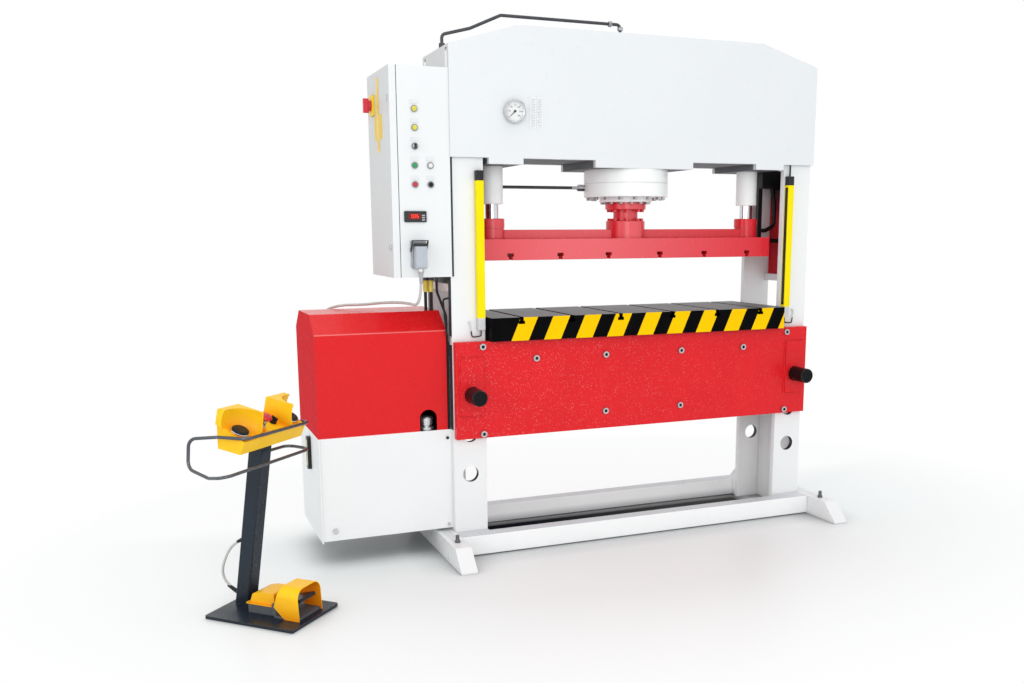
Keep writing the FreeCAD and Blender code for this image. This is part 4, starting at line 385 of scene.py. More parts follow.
def powder(name, color, rough=0.42, gap=None, shade=None):
    """Fine powder coat on sheet metal, with a dark seam at X = gap, and painted shade, a greyer colour,
    left of X = shade.
    """
    s = Shader(name)
    c = grime(s, s.tone(color, 0.012, 2.2), 0.06)
    if gap is not None:
        c = s.mix(s.math("COMPARE", s.axes()[0], gap, 0.0017), c, (0.16, 0.17, 0.18))
    if shade is not None:
        # painted shade: greyer colour on the faces left of X = shade, the cabinet's left side and door
        skin = s.tone(dim(color, 0.80), 0.03, 1.4, s.scaled(1, 1, 0.5))
        c = s.mix(s.below(s.axes()[0], shade), c, skin)
    c = crevice_shade(s, c, dim(color, 0.6), distance=0.01)
    s.grain(3.5, 0.0002, 1)
    s.grain(500, 8e-6, 2)
    return s.finish(c, s.sheen(40, rough - 0.05, rough + 0.07))


def moulded(name, color, rough=0.38, coat=0, amount=0.05):
    """Moulded plastic with a fine grain and a slightly uneven gloss."""
    s = Shader(name)
    c = crevice_shade(s, s.tone(color, amount, 14), dim(color, 0.5), distance=0.006)
    s.grain(900, 1.2e-5, 2)
    return s.finish(c, s.sheen(90, rough - 0.06, rough + 0.08, 4), coat=coat)


def metal(name, color, rough, scale):
    """Bare or plated metal with fine machining marks."""
    s = Shader(name)
    marks = s.noise(scale, 6, 0.7)
    c = s.mix(s.remap(marks, 0.3, 0.7), dim(color, 0.86), color)
    c = s.mix(s.remap(s.noise(5, 4, 0.6), 0.35, 0.8, 0, 0.25), c, dim(color, 0.7))
    s.raise_by(marks, 1e-5)
    return s.finish(c, s.remap(marks, 0.25, 0.75, rough - 0.07, rough + 0.10), 1)


def table_material():
    """Milled grey top, black painted sides, and slanted yellow bars on the front."""
    s = Shader("table")
    x, y, z = s.axes()
    milled = s.noise(90, 6, 0.75, s.scaled(0.05, 1, 1))
    sweep = s.add("ShaderNodeTexWave", {
        "Vector": s.place, "Scale": 22, "Distortion": 1.2, "Detail": 2,
    }, bands_direction="Y").outputs["Fac"]
    steel = s.mix(s.remap(milled, 0.3, 0.7), (0.17, 0.172, 0.176), (0.24, 0.243, 0.248))
    steel = s.mix(s.remap(s.noise(4, 5, 0.65), 0.4, 0.75, 0, 0.45), steel, (0.12, 0.12, 0.125))
    top = s.above(z, TABLE_TOP - 0.0008)
    black = s.tone((0.003, 0.003, 0.0035), 0.3, 18)
    lean = s.times(s.minus(z, STRIPE_FOOT), STRIPE_LEAN)
    along = s.minus(s.minus(x, lean), STRIPE_START)
    phase = s.math("FRACT", s.math("DIVIDE", along, STRIPE_PITCH))
    ragged = s.times(s.minus(s.noise(180, 3), 0.5), 0.012)
    bar = s.below(s.math("ADD", phase, ragged), STRIPE_SHARE)
    front = s.below(y, TABLE_FRONT + 0.0006)
    worn = s.remap(s.noise(45, 6, 0.75), 0.22, 0.34)
    yellow = s.tone((0.95, 0.60, 0.002), 0.04, 9)
    bar = s.times(bar, front, s.remap(worn, 0, 1, 0.75, 1), s.above(along, 0))
    sides = crevice_shade(s, s.mix(bar, black, yellow), grey(0.005), 0.01)
    c = s.mix(top, sides, steel)
    s.raise_by(s.times(s.math("ADD", milled, sweep), top), 2e-5)
    dull = s.times(s.inverse(top), 0.65)
    rough = s.mix(top, grey(0.34), grey(0.50))
    return s.finish(c, rough, s.times(top, 0.30), level=0.08, matte=dull)


def rod_material():
    """Ground chrome with faint rings round it and a thin film of oil."""
    s = Shader("guide_chrome")
    rings = s.noise(160, 3, 0.6, s.scaled(0.02, 0.02, 1))
    film = s.remap(s.noise(12, 4, 0.6, s.scaled(1, 1, 0.25)), 0.35, 0.7)
    c = s.mix(film, (0.62, 0.63, 0.65), (0.74, 0.75, 0.77))
    s.raise_by(rings, 4e-6)
    return s.finish(c, s.remap(rings, 0.3, 0.7, 0.10, 0.22), 1)


def pin_material():
    """Turned steel, blackened, rubbed brighter along its rims."""
    s = Shader("pin")
    rings = s.noise(220, 4, 0.7, s.scaled(0.02, 1, 0.02))
    c = s.tone((0.006, 0.006, 0.007), 0.25, 20)
    c = edges(s, c, (0.16, 0.16, 0.17), 0.003, 0.7)
    s.raise_by(rings, 3e-5)
    return s.finish(c, s.remap(rings, 0.3, 0.7, 0.24, 0.38), level=0.12)


def gauge_material():
    """Polished case, and a pale dial inside its rim."""
    s = Shader("gauge")
    dial = s.near(GAUGE_MIDDLE, DIAL_R - 0.0008, flat=1)
    face = s.tone((0.84, 0.85, 0.84), 0.03, 30)
    case = s.mix(s.remap(s.noise(120, 4), 0.3, 0.7), (0.50, 0.51, 0.53), (0.74, 0.75, 0.77))
    rough = s.mix(dial, grey(0.14), grey(0.45))
    s.grain(300, 4e-6, 2)
    return s.finish(s.mix(dial, case, face), rough, s.inverse(dial))


def chart_material():
    """White printed film with two columns of faint marks between thin rules."""
    s = Shader("chart")
    x, _, z = s.axes()
    low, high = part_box("chart_plate")
    rows = s.math("FRACT", s.math("DIVIDE", s.minus(z, low.z), 0.0066))
    marks = s.above(s.noise(430, 2, 0.6, s.scaled(1, 1, 0.5)), 0.48)
    middle = (low.x + high.x) / 2
    columns = s.math("ADD", *(s.math("COMPARE", x, middle + side * 0.0145, 0.0095) for side in (-1, 1)))
    body = s.math("COMPARE", z, (low.z + high.z) / 2, 0.059)
    ink = s.times(s.below(rows, 0.42), marks, s.times(columns, body))
    rule = s.math("COMPARE", x, middle, 0.0006)
    ink = s.times(s.either(ink, rule), 0.55)
    c = s.mix(ink, s.tone((0.80, 0.81, 0.82), 0.02, 20), (0.16, 0.18, 0.22))
    return s.finish(c, s.sheen(60, 0.30, 0.42), coat=0.2)


def fittings_material():
    """Cabinet fittings: yellow lamps in grey rims, pale labels, a dark timer with a red window."""
    s = Shader("cabinet_fittings")
    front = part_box("cabinet_body")[0].y
    c = s.tone((0.30, 0.31, 0.33), 0.08, 30)
    labels = s.inside((None, front - 0.0016, None), (None, front + 0.0002, None))
    labels = s.times(labels, s.above(s.axes()[2], 1.60))
    c = s.mix(labels, c, s.tone((0.77, 0.785, 0.80), 0.03, 60))
    for z in LAMP_ZS:
        lens = s.times(s.near((LAMP_X, 0, z), LAMP_R, flat=1), s.below(s.axes()[1], front))
        c = s.mix(lens, c, s.tone((0.70, 0.64, 0.09), 0.12, 120))
    case = s.inside((-1.112, front - 0.007, 1.445), (-1.016, front, 1.492))
    c = s.mix(case, c, s.tone((0.030, 0.032, 0.036), 0.2, 60))
    window = s.inside((-1.0932, front - 0.0057, 1.4577), (-1.0428, front - 0.0040, 1.4822))
    c = s.mix(window, c, (0.22, 0.012, 0.008))
    for z in (1.453, 1.462, 1.471):
        key = s.inside((-1.037, front - 0.0062, z), (-1.024, front - 0.0058, z + 0.005))
        c = s.mix(key, c, (0.45, 0.46, 0.48))
    inner = s.above(s.axes()[1], front + 0.003)
    c = s.mix(inner, c, s.tone((0.45, 0.46, 0.47), 0.06, 8))
    s.grain(700, 1e-5, 2)
    rough = s.mix(inner, grey(0.34), grey(0.38))
    return s.finish(crevice_shade(s, c, grey(0.02), 0.004), rough, s.times(inner, 0.8), coat=0.15)


def door_fittings_material():
    """Pale lock heads, a mustard plate and orange base behind the switch, steel hinge leaves."""
    s = Shader("door_fittings")
    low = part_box("cabinet_door")[0]
    c = s.tone((0.62, 0.63, 0.65), 0.05, 20)
    plate = s.inside((low.x - 0.0016, -0.0105, 1.736), (low.x + 0.0005, 0.0305, 2.041))
    band = s.remap(s.noise(24, 3, 0.6, s.scaled(0, 0.4, 1)), 0.40, 0.60)
    c = s.mix(plate, c, s.mix(band, (0.85, 0.66, 0.18), (0.84, 0.52, 0.03)))
    base = s.inside((low.x - 0.013, 0.0585, 1.893), (low.x + 0.0005, 0.1255, 1.979))
    c = s.mix(base, c, s.tone((0.88, 0.60, 0.03), 0.08, 30))
    slot = s.inside((low.x - 0.008, -0.1555, 1.3365), (low.x - 0.0065, -0.1505, 1.3515))
    c = s.mix(slot, c, grey(0.02))
    s.grain(500, 1e-5, 2)
    return s.finish(crevice_shade(s, c, grey(0.1), 0.004), s.sheen(50, 0.30, 0.42), coat=0.1)


def hood_material():
    """Glossy red sheet, with a painted highlight along its front fold, painted shade on its left and right
    faces, and painted shade, near black, inside.
    """
    s = Shader("hood")
    low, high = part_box("hood")
    red = s.tone((0.72, 0.008, 0.012), 0.04, 2)
    # painted highlight: a pale line along the front fold
    fold_highlight = s.math("COMPARE", s.minus(s.axes()[2], high.z), -0.079, 0.0022)
    fold_highlight = s.times(fold_highlight, s.below(s.axes()[1], low.y + 0.003))
    red = s.mix(s.times(fold_highlight, 0.45), red, (0.95, 0.40, 0.38))
    skin = 0.0012
    # painted shade: near black inside the hood
    shaded_inside = s.inside((low.x + skin, low.y + skin, None), (high.x - skin, high.y - skin, high.z - 0.082))
    c = s.mix(shaded_inside, red, (0.008, 0.008, 0.009))
    s.grain(2.6, 0.0006, 1)
    s.grain(240, 1e-5, 2)
    # painted shade: the left and right faces are darker and duller
    sides = s.times(s.either(s.facing(-1, 0, 0), s.facing(1, 0, 0)), 0.86)
    c = s.mix(s.times(sides, 0.35), c, (0.45, 0.004, 0.02))
    return s.finish(c, s.sheen(26, 0.22, 0.32, 4), coat=0.08, matte=sides)


def tank_material():
    """White sheet tank whose lid under the hood is painted black, as painted shade."""
    s = Shader("tank")
    low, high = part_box("hood")
    c = grime(s, s.tone((0.87, 0.885, 0.895), 0.015, 2.2), 0.08, 0.22)
    c = crevice_shade(s, c, grey(0.45), 0.01)
    # painted shade: the lid under the hood is near black
    shaded_lid = s.inside((low.x + 0.002, low.y + 0.002, low.z - 0.0005), (high.x - 0.002, high.y - 0.002, None))
    c = s.mix(shaded_lid, c, (0.010, 0.010, 0.011))
    s.grain(3.2, 0.0003, 1)
    s.grain(500, 8e-6, 2)
    return s.finish(c, s.sheen(40, 0.34, 0.46))


def tank_fittings_material():
    """Bright cap and screws, one screw black, a grey box; black level gauge with a pale glass on yellow."""
    s = Shader("tank_fittings")
    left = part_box("tank")[0].x
    c = s.tone((0.60, 0.61, 0.63), 0.08, 40)
    gauge = s.inside((None, 0.060, 0.370), (left, 0.115, 0.540))
    c = s.mix(gauge, c, s.tone((0.020, 0.020, 0.022), 0.2, 40))
    strip = s.inside((None, 0.076, 0.395), (left - 0.0155, 0.098, 0.511))
    c = s.mix(strip, c, (0.80, 0.55, 0.02))
    glass = s.inside((None, 0.083, 0.400), (left - 0.0155, 0.091, 0.506))
    c = s.mix(glass, c, (0.62, 0.66, 0.66))
    gland_box = s.inside((None, 0.345, None), (None, None, None))
    c = s.mix(gland_box, c, s.tone((0.28, 0.29, 0.30), 0.05, 20))
    screw = s.inside((-0.950, None, 0.500), (None, -0.132, 0.552))
    c = s.mix(screw, c, (0.02, 0.02, 0.022))
    plain = s.either(gauge, gland_box, screw)
    s.grain(400, 1e-5)
    return s.finish(c, s.sheen(80, 0.24, 0.38), s.math("MULTIPLY_ADD", plain, -0.9, 0.9))


def conduit_material():
    """Ribbed black hoses with pale ferrules under black nuts; the thick one is grey."""
    s = Shader("conduit")
    z = s.axes()[2]
    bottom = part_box("cabinet_body")[0].z
    black = s.tone((0.022, 0.022, 0.024), 0.2, 30)
    thick = s.near((-0.946, 0.030, 0), 0.0125, flat=2)
    c = s.mix(thick, black, s.tone((0.42, 0.43, 0.43), 0.05, 30))
    ferrule = s.math("COMPARE", z, bottom - 0.047, 0.0252)
    ferrule = s.times(ferrule, s.near((-0.964, -0.004, 0), 0.032, flat=2))
    c = s.mix(ferrule, c, s.tone((0.85, 0.72, 0.14), 0.08, 40))
    nut = s.above(z, bottom - 0.0221)
    c = s.mix(nut, c, s.tone((0.10, 0.10, 0.105), 0.2, 60))
    ribs = s.math("SINE", s.times(z, 2 * math.pi / 0.0045))
    s.raise_by(ribs, 0.0004)
    return s.finish(crevice_shade(s, c, grey(0.01), 0.008), s.sheen(60, 0.38, 0.55))


def curtain_material():
    """Yellow lacquered extrusion with fine lines along it; the side to the opening is a dark window."""
    s = Shader("curtain")
    c = s.tone((0.95, 0.78, 0.004), 0.03, 6)
    low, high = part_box("light_curtain_right")
    right = s.times(s.facing(-1, 0, 0, 0.7), s.above(s.axes()[0], 0))
    left = s.times(s.facing(1, 0, 0, 0.7), s.below(s.axes()[0], 0))
    window = s.inside((None, low.y + 0.004, low.z + 0.010), (None, high.y - 0.006, high.z - 0.010))
    window = s.times(s.either(right, left), window)
    c = s.mix(window, c, s.tone((0.035, 0.014, 0.006), 0.2, 20))
    lines = s.noise(380, 3, 0.6, s.scaled(1, 1, 0.02))
    c = crevice_shade(s, c, (0.45, 0.25, 0.01), 0.01)
    s.raise_by(lines, 1e-5)
    dull = s.remap(window, 0, 1, 0.35, 0.7)
    return s.finish(c, s.remap(lines, 0.3, 0.7, 0.34, 0.46), level=0.10, matte=dull)


def yellow_cast_material(name, color, inner, reach, amount):
    """Cast and sprayed yellow covers, with painted shade, a deeper orange, in their hollows."""
    s = Shader(name)
    c = s.tone(color, 0.05, 12)
    # painted shade: the inner colour darkens the hollows
    c = crevice_shade(s, c, inner, reach, amount)
    s.grain(40, 1.5e-4)
    s.grain(420, 1e-5, 2)
    return s.finish(c, s.sheen(50, 0.30, 0.42), coat=0.05)


def dark_coat(name, color, light, rough=0.30, metallic=0):
    """Dark powder coat with a fine sparkle and lighter rubbed edges."""
    s = Shader(name)
    c = s.tone(color, 0.14, 8)
    c = s.mix(s.remap(s.cells(520, "F1"), 0.16, 0.05, 0, 0.35), c, light)
    c = edges(s, c, light, 0.0022, 0.6)
    s.grain(620, 2e-5, 2)
    return s.finish(c, s.sheen(30, rough - 0.05, rough + 0.07), metallic, level=0.3)


def stop_material():
    """Red mushroom head on a metal stem."""
    s = Shader("stop")
    low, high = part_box("emergency_stop")
    foot = (low + high) / 2 - DESK_AXIS * 0.027
    offset = s.add("ShaderNodeVectorMath", {0: s.place, 1: foot}, operation="SUBTRACT").outputs["Vector"]
    head = s.above(s.dot(offset, DESK_AXIS), 0.033)
    c = s.mix(head, s.tone((0.60, 0.60, 0.62), 0.05, 60), s.tone((0.58, 0.012, 0.018), 0.08, 30))
    s.grain(500, 1e-5)
    return s.finish(c, s.mix(head, grey(0.24), grey(0.30)), s.inverse(head), coat=0.3)


def connector_material():
    """Cast pale-grey hood on a darker base; its gland nut is plated."""
    s = Shader("connector")
    low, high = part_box("connector")
    c = s.tone((0.46, 0.50, 0.55), 0.05, 30)
    base = s.above(s.axes()[1], high.y - 0.0181)
    c = s.mix(base, c, s.tone((0.36, 0.38, 0.41), 0.10, 30))
    bar = s.inside((None, None, high.z - 0.024), (None, high.y - 0.018, None))
    c = s.mix(bar, c, (0.03, 0.03, 0.032))
    nut = s.below(s.axes()[2], low.z + 0.0179)
    c = s.mix(nut, c, (0.62, 0.63, 0.64))
    s.grain(350, 3e-5)
    c = crevice_shade(s, c, grey(0.05), 0.006)
    return s.finish(c, s.sheen(60, 0.28, 0.42), s.times(nut, 0.9), coat=0.1)


def cable_material(name, color):
    """Smooth sheath, a little dusty."""
    s = Shader(name)
    c = s.tone(color, 0.06, 40)
    c = s.mix(s.remap(s.noise(11, 5, 0.65), 0.5, 0.8, 0, 0.35), c, dim(color, 0.6))
    s.grain(380, 3e-5)
    return s.finish(c, s.sheen(70, 0.42, 0.58))


def tie_material():
    """Plated bolt heads, with painted shade, near black, in their hexagon sockets."""
    s = Shader("tie_bolt")
    marks = s.noise(180, 6, 0.7)
    c = s.mix(s.remap(marks, 0.3, 0.7), (0.46, 0.47, 0.49), (0.62, 0.63, 0.65))
    # painted shade in the hexagon sockets
    socket_shade = s.either(*(s.near((side * x, 0, z), 0.0072, flat=1)
                         for x, z in BOLT_PLACES for side in (-1, 1)))
    c = s.mix(socket_shade, c, (0.015, 0.015, 0.016))
    s.raise_by(marks, 1e-5)
    metallic = s.math("MULTIPLY_ADD", socket_shade, -0.9, 0.9)
    return s.finish(c, s.remap(marks, 0.25, 0.75, 0.24, 0.40), metallic)


def pipe_material():
    """Dark steel tube with a bright union nut at the drum."""
    s = Shader("pipe_steel")
    marks = s.noise(50, 5, 0.65)
    c = s.mix(s.remap(marks, 0.3, 0.7), (0.055, 0.058, 0.064), (0.085, 0.088, 0.095))
    union = s.inside((-0.250, None, 1.60), (-0.190, None, 1.70))
    c = s.mix(union, c, (0.62, 0.63, 0.65))
    s.raise_by(marks, 1e-5)
    return s.finish(c, s.remap(marks, 0.25, 0.75, 0.28, 0.42), 0.5)


def selector_material():
    """Black grip in a bright ring."""
    s = Shader("selector")
    grip = s.inside((-1.0630, None, None), (-1.0550, -0.1955, None))
    c = s.mix(grip, s.tone((0.55, 0.56, 0.58), 0.05, 90), s.tone((0.012, 0.012, 0.014), 0.2, 90))
    s.grain(600, 1e-5)
    return s.finish(c, s.sheen(90, 0.24, 0.36), s.inverse(grip))


def curtain_fittings_material():
    """Dark cast brackets above, pale end caps below."""
    s = Shader("curtain_fittings")
    foot = s.inside((None, None, 0.985), (None, -0.1695, 1.0405))
    c = s.mix(foot, s.tone((0.030, 0.030, 0.033), 0.4, 90), s.tone((0.62, 0.63, 0.64), 0.05, 30))
    s.grain(250, 5e-5)
    return s.finish(c, s.sheen(80, 0.36, 0.50), level=0.15)


def cover_material():
    """Dark red sheet, with painted shade going black towards its top, and near black on the left below a
    height of 1.23 m.
    """
    s = Shader("cover")
    # painted shade: the red goes black towards the top
    height = s.math("ADD", s.axes()[2], s.times(s.noise(6, 3), 0.06))
    c = s.mix(s.remap(height, 1.50, 1.63), s.tone((0.60, 0.008, 0.022), 0.10, 5), (0.008, 0.007, 0.008))
    c = s.mix(s.inside((None, None, None), (-0.905, None, 1.23)), c, (0.02, 0.02, 0.022))
    s.grain(300, 1e-5, 2)
    return s.finish(c, s.sheen(30, 0.32, 0.46), level=0.2)


def dress(material, *names):
    for name in names:
        NODES[name].data.materials.clear()
        NODES[name].data.materials.append(material)


dress(enamel("crown_white", (0.775, 0.797, 0.817), marks=painted_left_shade),
      "crown_front_plate", "crown_rear_plate", "crown_shell")
white = enamel("frame_white", (0.84, 0.855, 0.865))
dress(white, "feet")
dress(enamel("upright_white", (0.855, 0.868, 0.876), marks=painted_hole_shade),
      "upright_left", "upright_right")
dress(enamel("base_white", (0.95, 0.96, 0.965), marks=painted_beam_shade), "base_beams")
dress(enamel("cylinder_white", (0.92, 0.93, 0.93)), "cylinder_barrel", "guide_sleeves")
red = hammered("press_red", (0.74, 0.010, 0.016))
dress(red, "bed_front_plate", "bed_rear_plate")
smooth_red = enamel("beam_red", (0.72, 0.016, 0.030), rough=0.24, coat=0.2, peel=2e-5,
                    wear=(0.90, 0.35, 0.33), dust=0, marks=painted_ram_highlight)
dress(smooth_red, "pressing_beam", "guide_bosses", "ram_coupling")
dress(cover_material(), "side_covers")
dress(hood_material(), "hood")
dress(powder("floor_grey", (0.13, 0.14, 0.15), 0.55), "crown_floor")
dress(powder("sheet_white", (0.815, 0.83, 0.84), gap=-1.1300, shade=-1.1595),
      "cabinet_body", "cabinet_door")
dress(tank_material(), "tank")
dress(table_material(), "table")
dress(metal("bolt_steel", (0.55, 0.56, 0.58), 0.30, 180), "cylinder_bolts")
dress(tie_material(), "bed_ties")
dress(metal("stud_steel", (0.16, 0.165, 0.17), 0.36, 120), "levelling_studs")
dress(rod_material(), "piston_rod", "guide_rods")
dress(pin_material(), "pin_left", "pin_right")
dress(gauge_material(), "gauge_case")
dress(moulded("needle", (0.03, 0.03, 0.035)), "gauge_needle")
dress(chart_material(), "chart_plate")
dress(curtain_material(), "light_curtain_left", "light_curtain_right")
dress(curtain_fittings_material(), "curtain_fittings")
dress(moulded("black_plastic", (0.012, 0.012, 0.014), 0.36, 0, 0.2), "button_black", "treadle",
      "console_selector", "sensor_unit", "connector_lever", "palm_button_left", "palm_button_right")
dress(selector_material(), "panel_selector")
dress(fittings_material(), "cabinet_fittings")
dress(door_fittings_material(), "door_fittings")
dress(moulded("green_plastic", (0.020, 0.33, 0.10), 0.28, 0.3), "button_green")
dress(moulded("white_plastic", (0.80, 0.81, 0.80), 0.30, 0.3), "button_white")
dress(moulded("red_plastic", (0.62, 0.03, 0.05), 0.28, 0.3), "button_red", "main_switch")
dress(stop_material(), "emergency_stop")
dress(connector_material(), "connector")
dress(tank_fittings_material(), "tank_fittings")
dress(pipe_material(), "steel_pipes")
dress(conduit_material(), "conduits")
dress(dark_coat("column", (0.011, 0.018, 0.030), (0.16, 0.18, 0.21)), "pedestal")
dress(dark_coat("rail", (0.12, 0.125, 0.14), (0.40, 0.41, 0.43), 0.20, 0.8), "guard_rail")
dress(yellow_cast_material("console", (1, 0.58, 0.012), (0.95, 0.30, 0.004), 0.05, 0.9),
      "console_body")
dress(yellow_cast_material("guard", (1, 0.57, 0.008), (0.86, 0.20, 0.004), 0.14, 1),
      "pedal_guard")
dress(moulded("pedal_base", (0.10, 0.105, 0.115), 0.5), "pedal_base")


# ---- camera ----
def link(name, data):
    """New object in the scene."""
    thing = bpy.data.objects.new(name, data)
    scene.collection.objects.link(thing)
    return thing


def make_camera():
    """Camera at the place, turn and shift that were fitted to the photograph."""
    yaw, pitch, roll = CAMERA_YAW, CAMERA_PITCH, CAMERA_ROLL
    forward = Vector((math.sin(yaw) * math.cos(pitch), math.cos(yaw) * math.cos(pitch), -math.sin(pitch)))
    level = Vector((math.cos(yaw), -math.sin(yaw), 0.0))
    raised = level.cross(forward)
    right = level * math.cos(roll) + raised * math.sin(roll)
    up = raised * math.cos(roll) - level * math.sin(roll)
    data = bpy.data.cameras.new("camera")
    data.sensor_width = SENSOR
    data.lens = SENSOR * FOCAL_PIXELS / IMAGE_WIDTH
    data.shift_x = (IMAGE_WIDTH / 2 - AXIS_PIXEL[0]) / IMAGE_WIDTH
    data.shift_y = (AXIS_PIXEL[1] - IMAGE_HEIGHT / 2) / IMAGE_WIDTH
    data.clip_end = 60.0
    camera = link("camera", data)
    matrix = Matrix((right, up, -forward)).transposed().to_4x4()
    matrix.translation = Vector(CAMERA_PLACE)
    camera.matrix_world = matrix
    scene.camera = camera


# ---- pieces ----
def place_piece(name, mesh, material, body="frame", smooth=True):
    """Puts a mesh in the scene as a piece that rides on a CAD body."""
    piece = link(name, mesh)
    mesh.materials.append(material)
    if smooth:
        for polygon in mesh.polygons:
            polygon.use_smooth = True
    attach(piece, body)
    return piece


def mesh_from(name, bm):
    bmesh.ops.recalc_face_normals(bm, faces=bm.faces)
    mesh = bpy.data.meshes.new(name)
    bm.to_mesh(mesh)
    bm.free()
    return mesh


def on_pedestal(point):
    """A point given across, back and up from the pedestal's middle, in the part's frame."""
    return PEDESTAL_PLACE + Matrix.Rotation(PEDESTAL_TURN, 3, "Z") @ Vector(point)


def make_cord(name, points, diameter, material, node):
    """Cord along a NURBS line whose control points are its route's points."""
    curve = bpy.data.curves.new(name, "CURVE")
    curve.dimensions = "3D"
    curve.resolution_u = 16
    curve.bevel_depth = diameter / 2
    curve.bevel_resolution = 6
    curve.use_fill_caps = True
    spline = curve.splines.new("NURBS")
    spline.points.add(len(points) - 1)
    for knot, point in zip(spline.points, points):
        knot.co = (*point, 1.0)
    spline.order_u = 3
    spline.use_endpoint_u = True
    curve.materials.append(material)
    cord = link(name, curve)
    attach(cord, "frame")
    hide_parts(node)
    return cord


def ring(bm, middle, along, radius, sides):
    """Corners on a circle round a point, square to the given way."""
    across = along.orthogonal().normalized()
    beside = along.cross(across)
    turns = (2 * math.pi * i / sides for i in range(sides))
    return [bm.verts.new(middle + (across * math.cos(a) + beside * math.sin(a)) * radius) for a in turns]


def turned(name, profile, start, direction, material, sides=40):
    """Body of revolution from (radius, distance) pairs along a line from start."""
    along = Vector(direction).normalized()
    bm = bmesh.new()
    rings = []
    for radius, distance in profile:
        middle = Vector(start) + along * distance
        on_axis = radius < 1e-6
        rings.append([bm.verts.new(middle)] if on_axis else ring(bm, middle, along, radius, sides))
    for near, far in zip(rings, rings[1:]):
        for i in range(sides):
            j = (i + 1) % sides
            corners = [near[i % len(near)], near[j % len(near)], far[j % len(far)], far[i % len(far)]]
            bm.faces.new(list(dict.fromkeys(corners)))
    piece = place_piece(name, mesh_from(name, bm), material)
    sharp = piece.modifiers.new("edges", "EDGE_SPLIT")
    sharp.split_angle = math.radians(35)
    return piece


def relief(name, profile, start, direction, material):
    """Tapered sleeve round the end of a cord, turned from its outer profile and closed at both ends."""
    closed = [(0.0, profile[0][1]), *profile, (0.0, profile[-1][1])]
    return turned(name, closed, start, direction, material)


def weld(name, path, radius, material, body="frame", closed=True):
    """Rippled weld bead laid along a line of points."""
    points = [Vector(p) for p in path]
    if closed:
        points.append(points[0])
    samples = []
    for a, b in zip(points, points[1:]):
        count = max(1, round((b - a).length / WELD_STEP))
        samples += [a.lerp(b, i / count) for i in range(count)]
    if not closed:
        samples.append(points[-1])
    bm = bmesh.new()
    rings = []
    total = len(samples)
    sides = range(WELD_SIDES)
    for i, middle in enumerate(samples):
        before = samples[i - 1] if i or closed else middle
        after = samples[(i + 1) % total] if i < total - 1 or closed else middle
        ripple = 1.0 + 0.16 * math.sin(i * 2.1) + 0.10 * math.sin(i * 0.37 + 1.0)
        rings.append(ring(bm, middle, (after - before).normalized(), radius * ripple, WELD_SIDES))
    pairs = list(zip(rings, rings[1:]))
    if closed:
        pairs.append((rings[-1], rings[0]))
    for near, far in pairs:
        # the next ring may start elsewhere round the bead, so it is turned to where it lies nearest
        turn = min(sides, key=lambda shift: sum(
            (near[k].co - far[(k + shift) % WELD_SIDES].co).length for k in sides))
        far = far[turn:] + far[:turn]
        for k in sides:
            j = (k + 1) % WELD_SIDES
            bm.faces.new([near[k], near[j], far[j], far[k]])
    if not closed:
        bm.faces.new(rings[0])
        bm.faces.new(rings[-1])
    return place_piece(name, mesh_from(name, bm), material, body)


def circle(x, y, z, radius):
    turns = (2 * math.pi * i / CIRCLE_CORNERS for i in range(CIRCLE_CORNERS))
    return [(x + radius * math.cos(a), y + radius * math.sin(a), z) for a in turns]


def rectangle(x0, x1, y, z0, z1):
    """Corners of a rectangle square to Y."""
    return [(x0, y, z0), (x1, y, z0), (x1, y, z1), (x0, y, z1)]


def plates(name, quads, material, body="frame"):
    """Thin plates as one piece; each is four corners and the step towards its raised face."""
    bm = bmesh.new()
    for corners, step in quads:
        low = [bm.verts.new(Vector(c)) for c in corners]
        high = [bm.verts.new(Vector(c) + Vector(step)) for c in corners]
        bm.faces.new(low)
        bm.faces.new(high)
        for i in range(4):
            j = (i + 1) % 4
            bm.faces.new([low[i], low[j], high[j], high[i]])
    return place_piece(name, mesh_from(name, bm), material, body, smooth=False)


def make_gauge_marks():
    """Ticks and plain numbers on the dial."""
    ink = moulded("dial_ink", (0.03, 0.03, 0.035), 0.5)
    quads = []
    for i in range(DIAL_TICKS + 1):
        angle = math.radians(DIAL_START - DIAL_SWEEP * i / DIAL_TICKS)
        out = Vector((math.cos(angle), 0, math.sin(angle)))
        start, half = (0.031, 0.0007) if i % 5 == 0 else (0.0345, 0.0004)
        side = Vector((-out.z, 0, out.x)) * half
        near = GAUGE_MIDDLE + out * start
        far = GAUGE_MIDDLE + out * TICK_END
        quads.append(([near - side, near + side, far + side, far - side], (0, -0.0002, 0)))
    plates("gauge_ticks", quads, ink)
    for i in range(DIAL_NUMBERS + 1):
        angle = math.radians(DIAL_START - DIAL_SWEEP * i / DIAL_NUMBERS)
        text = bpy.data.curves.new("gauge_number_%d" % i, "FONT")
        text.body = str(50 * i)
        text.size = 0.0085
        text.extrude = 0.0001
        text.align_x = text.align_y = "CENTER"
        text.materials.append(ink)
        number = link("gauge_number_%d" % i, text)
        number.rotation_euler = (math.pi / 2, 0, 0)
        offset = (math.cos(angle) * NUMBER_R, -0.0002, math.sin(angle) * NUMBER_R)
        number.location = GAUGE_MIDDLE + Vector(offset)
        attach(number, "frame")


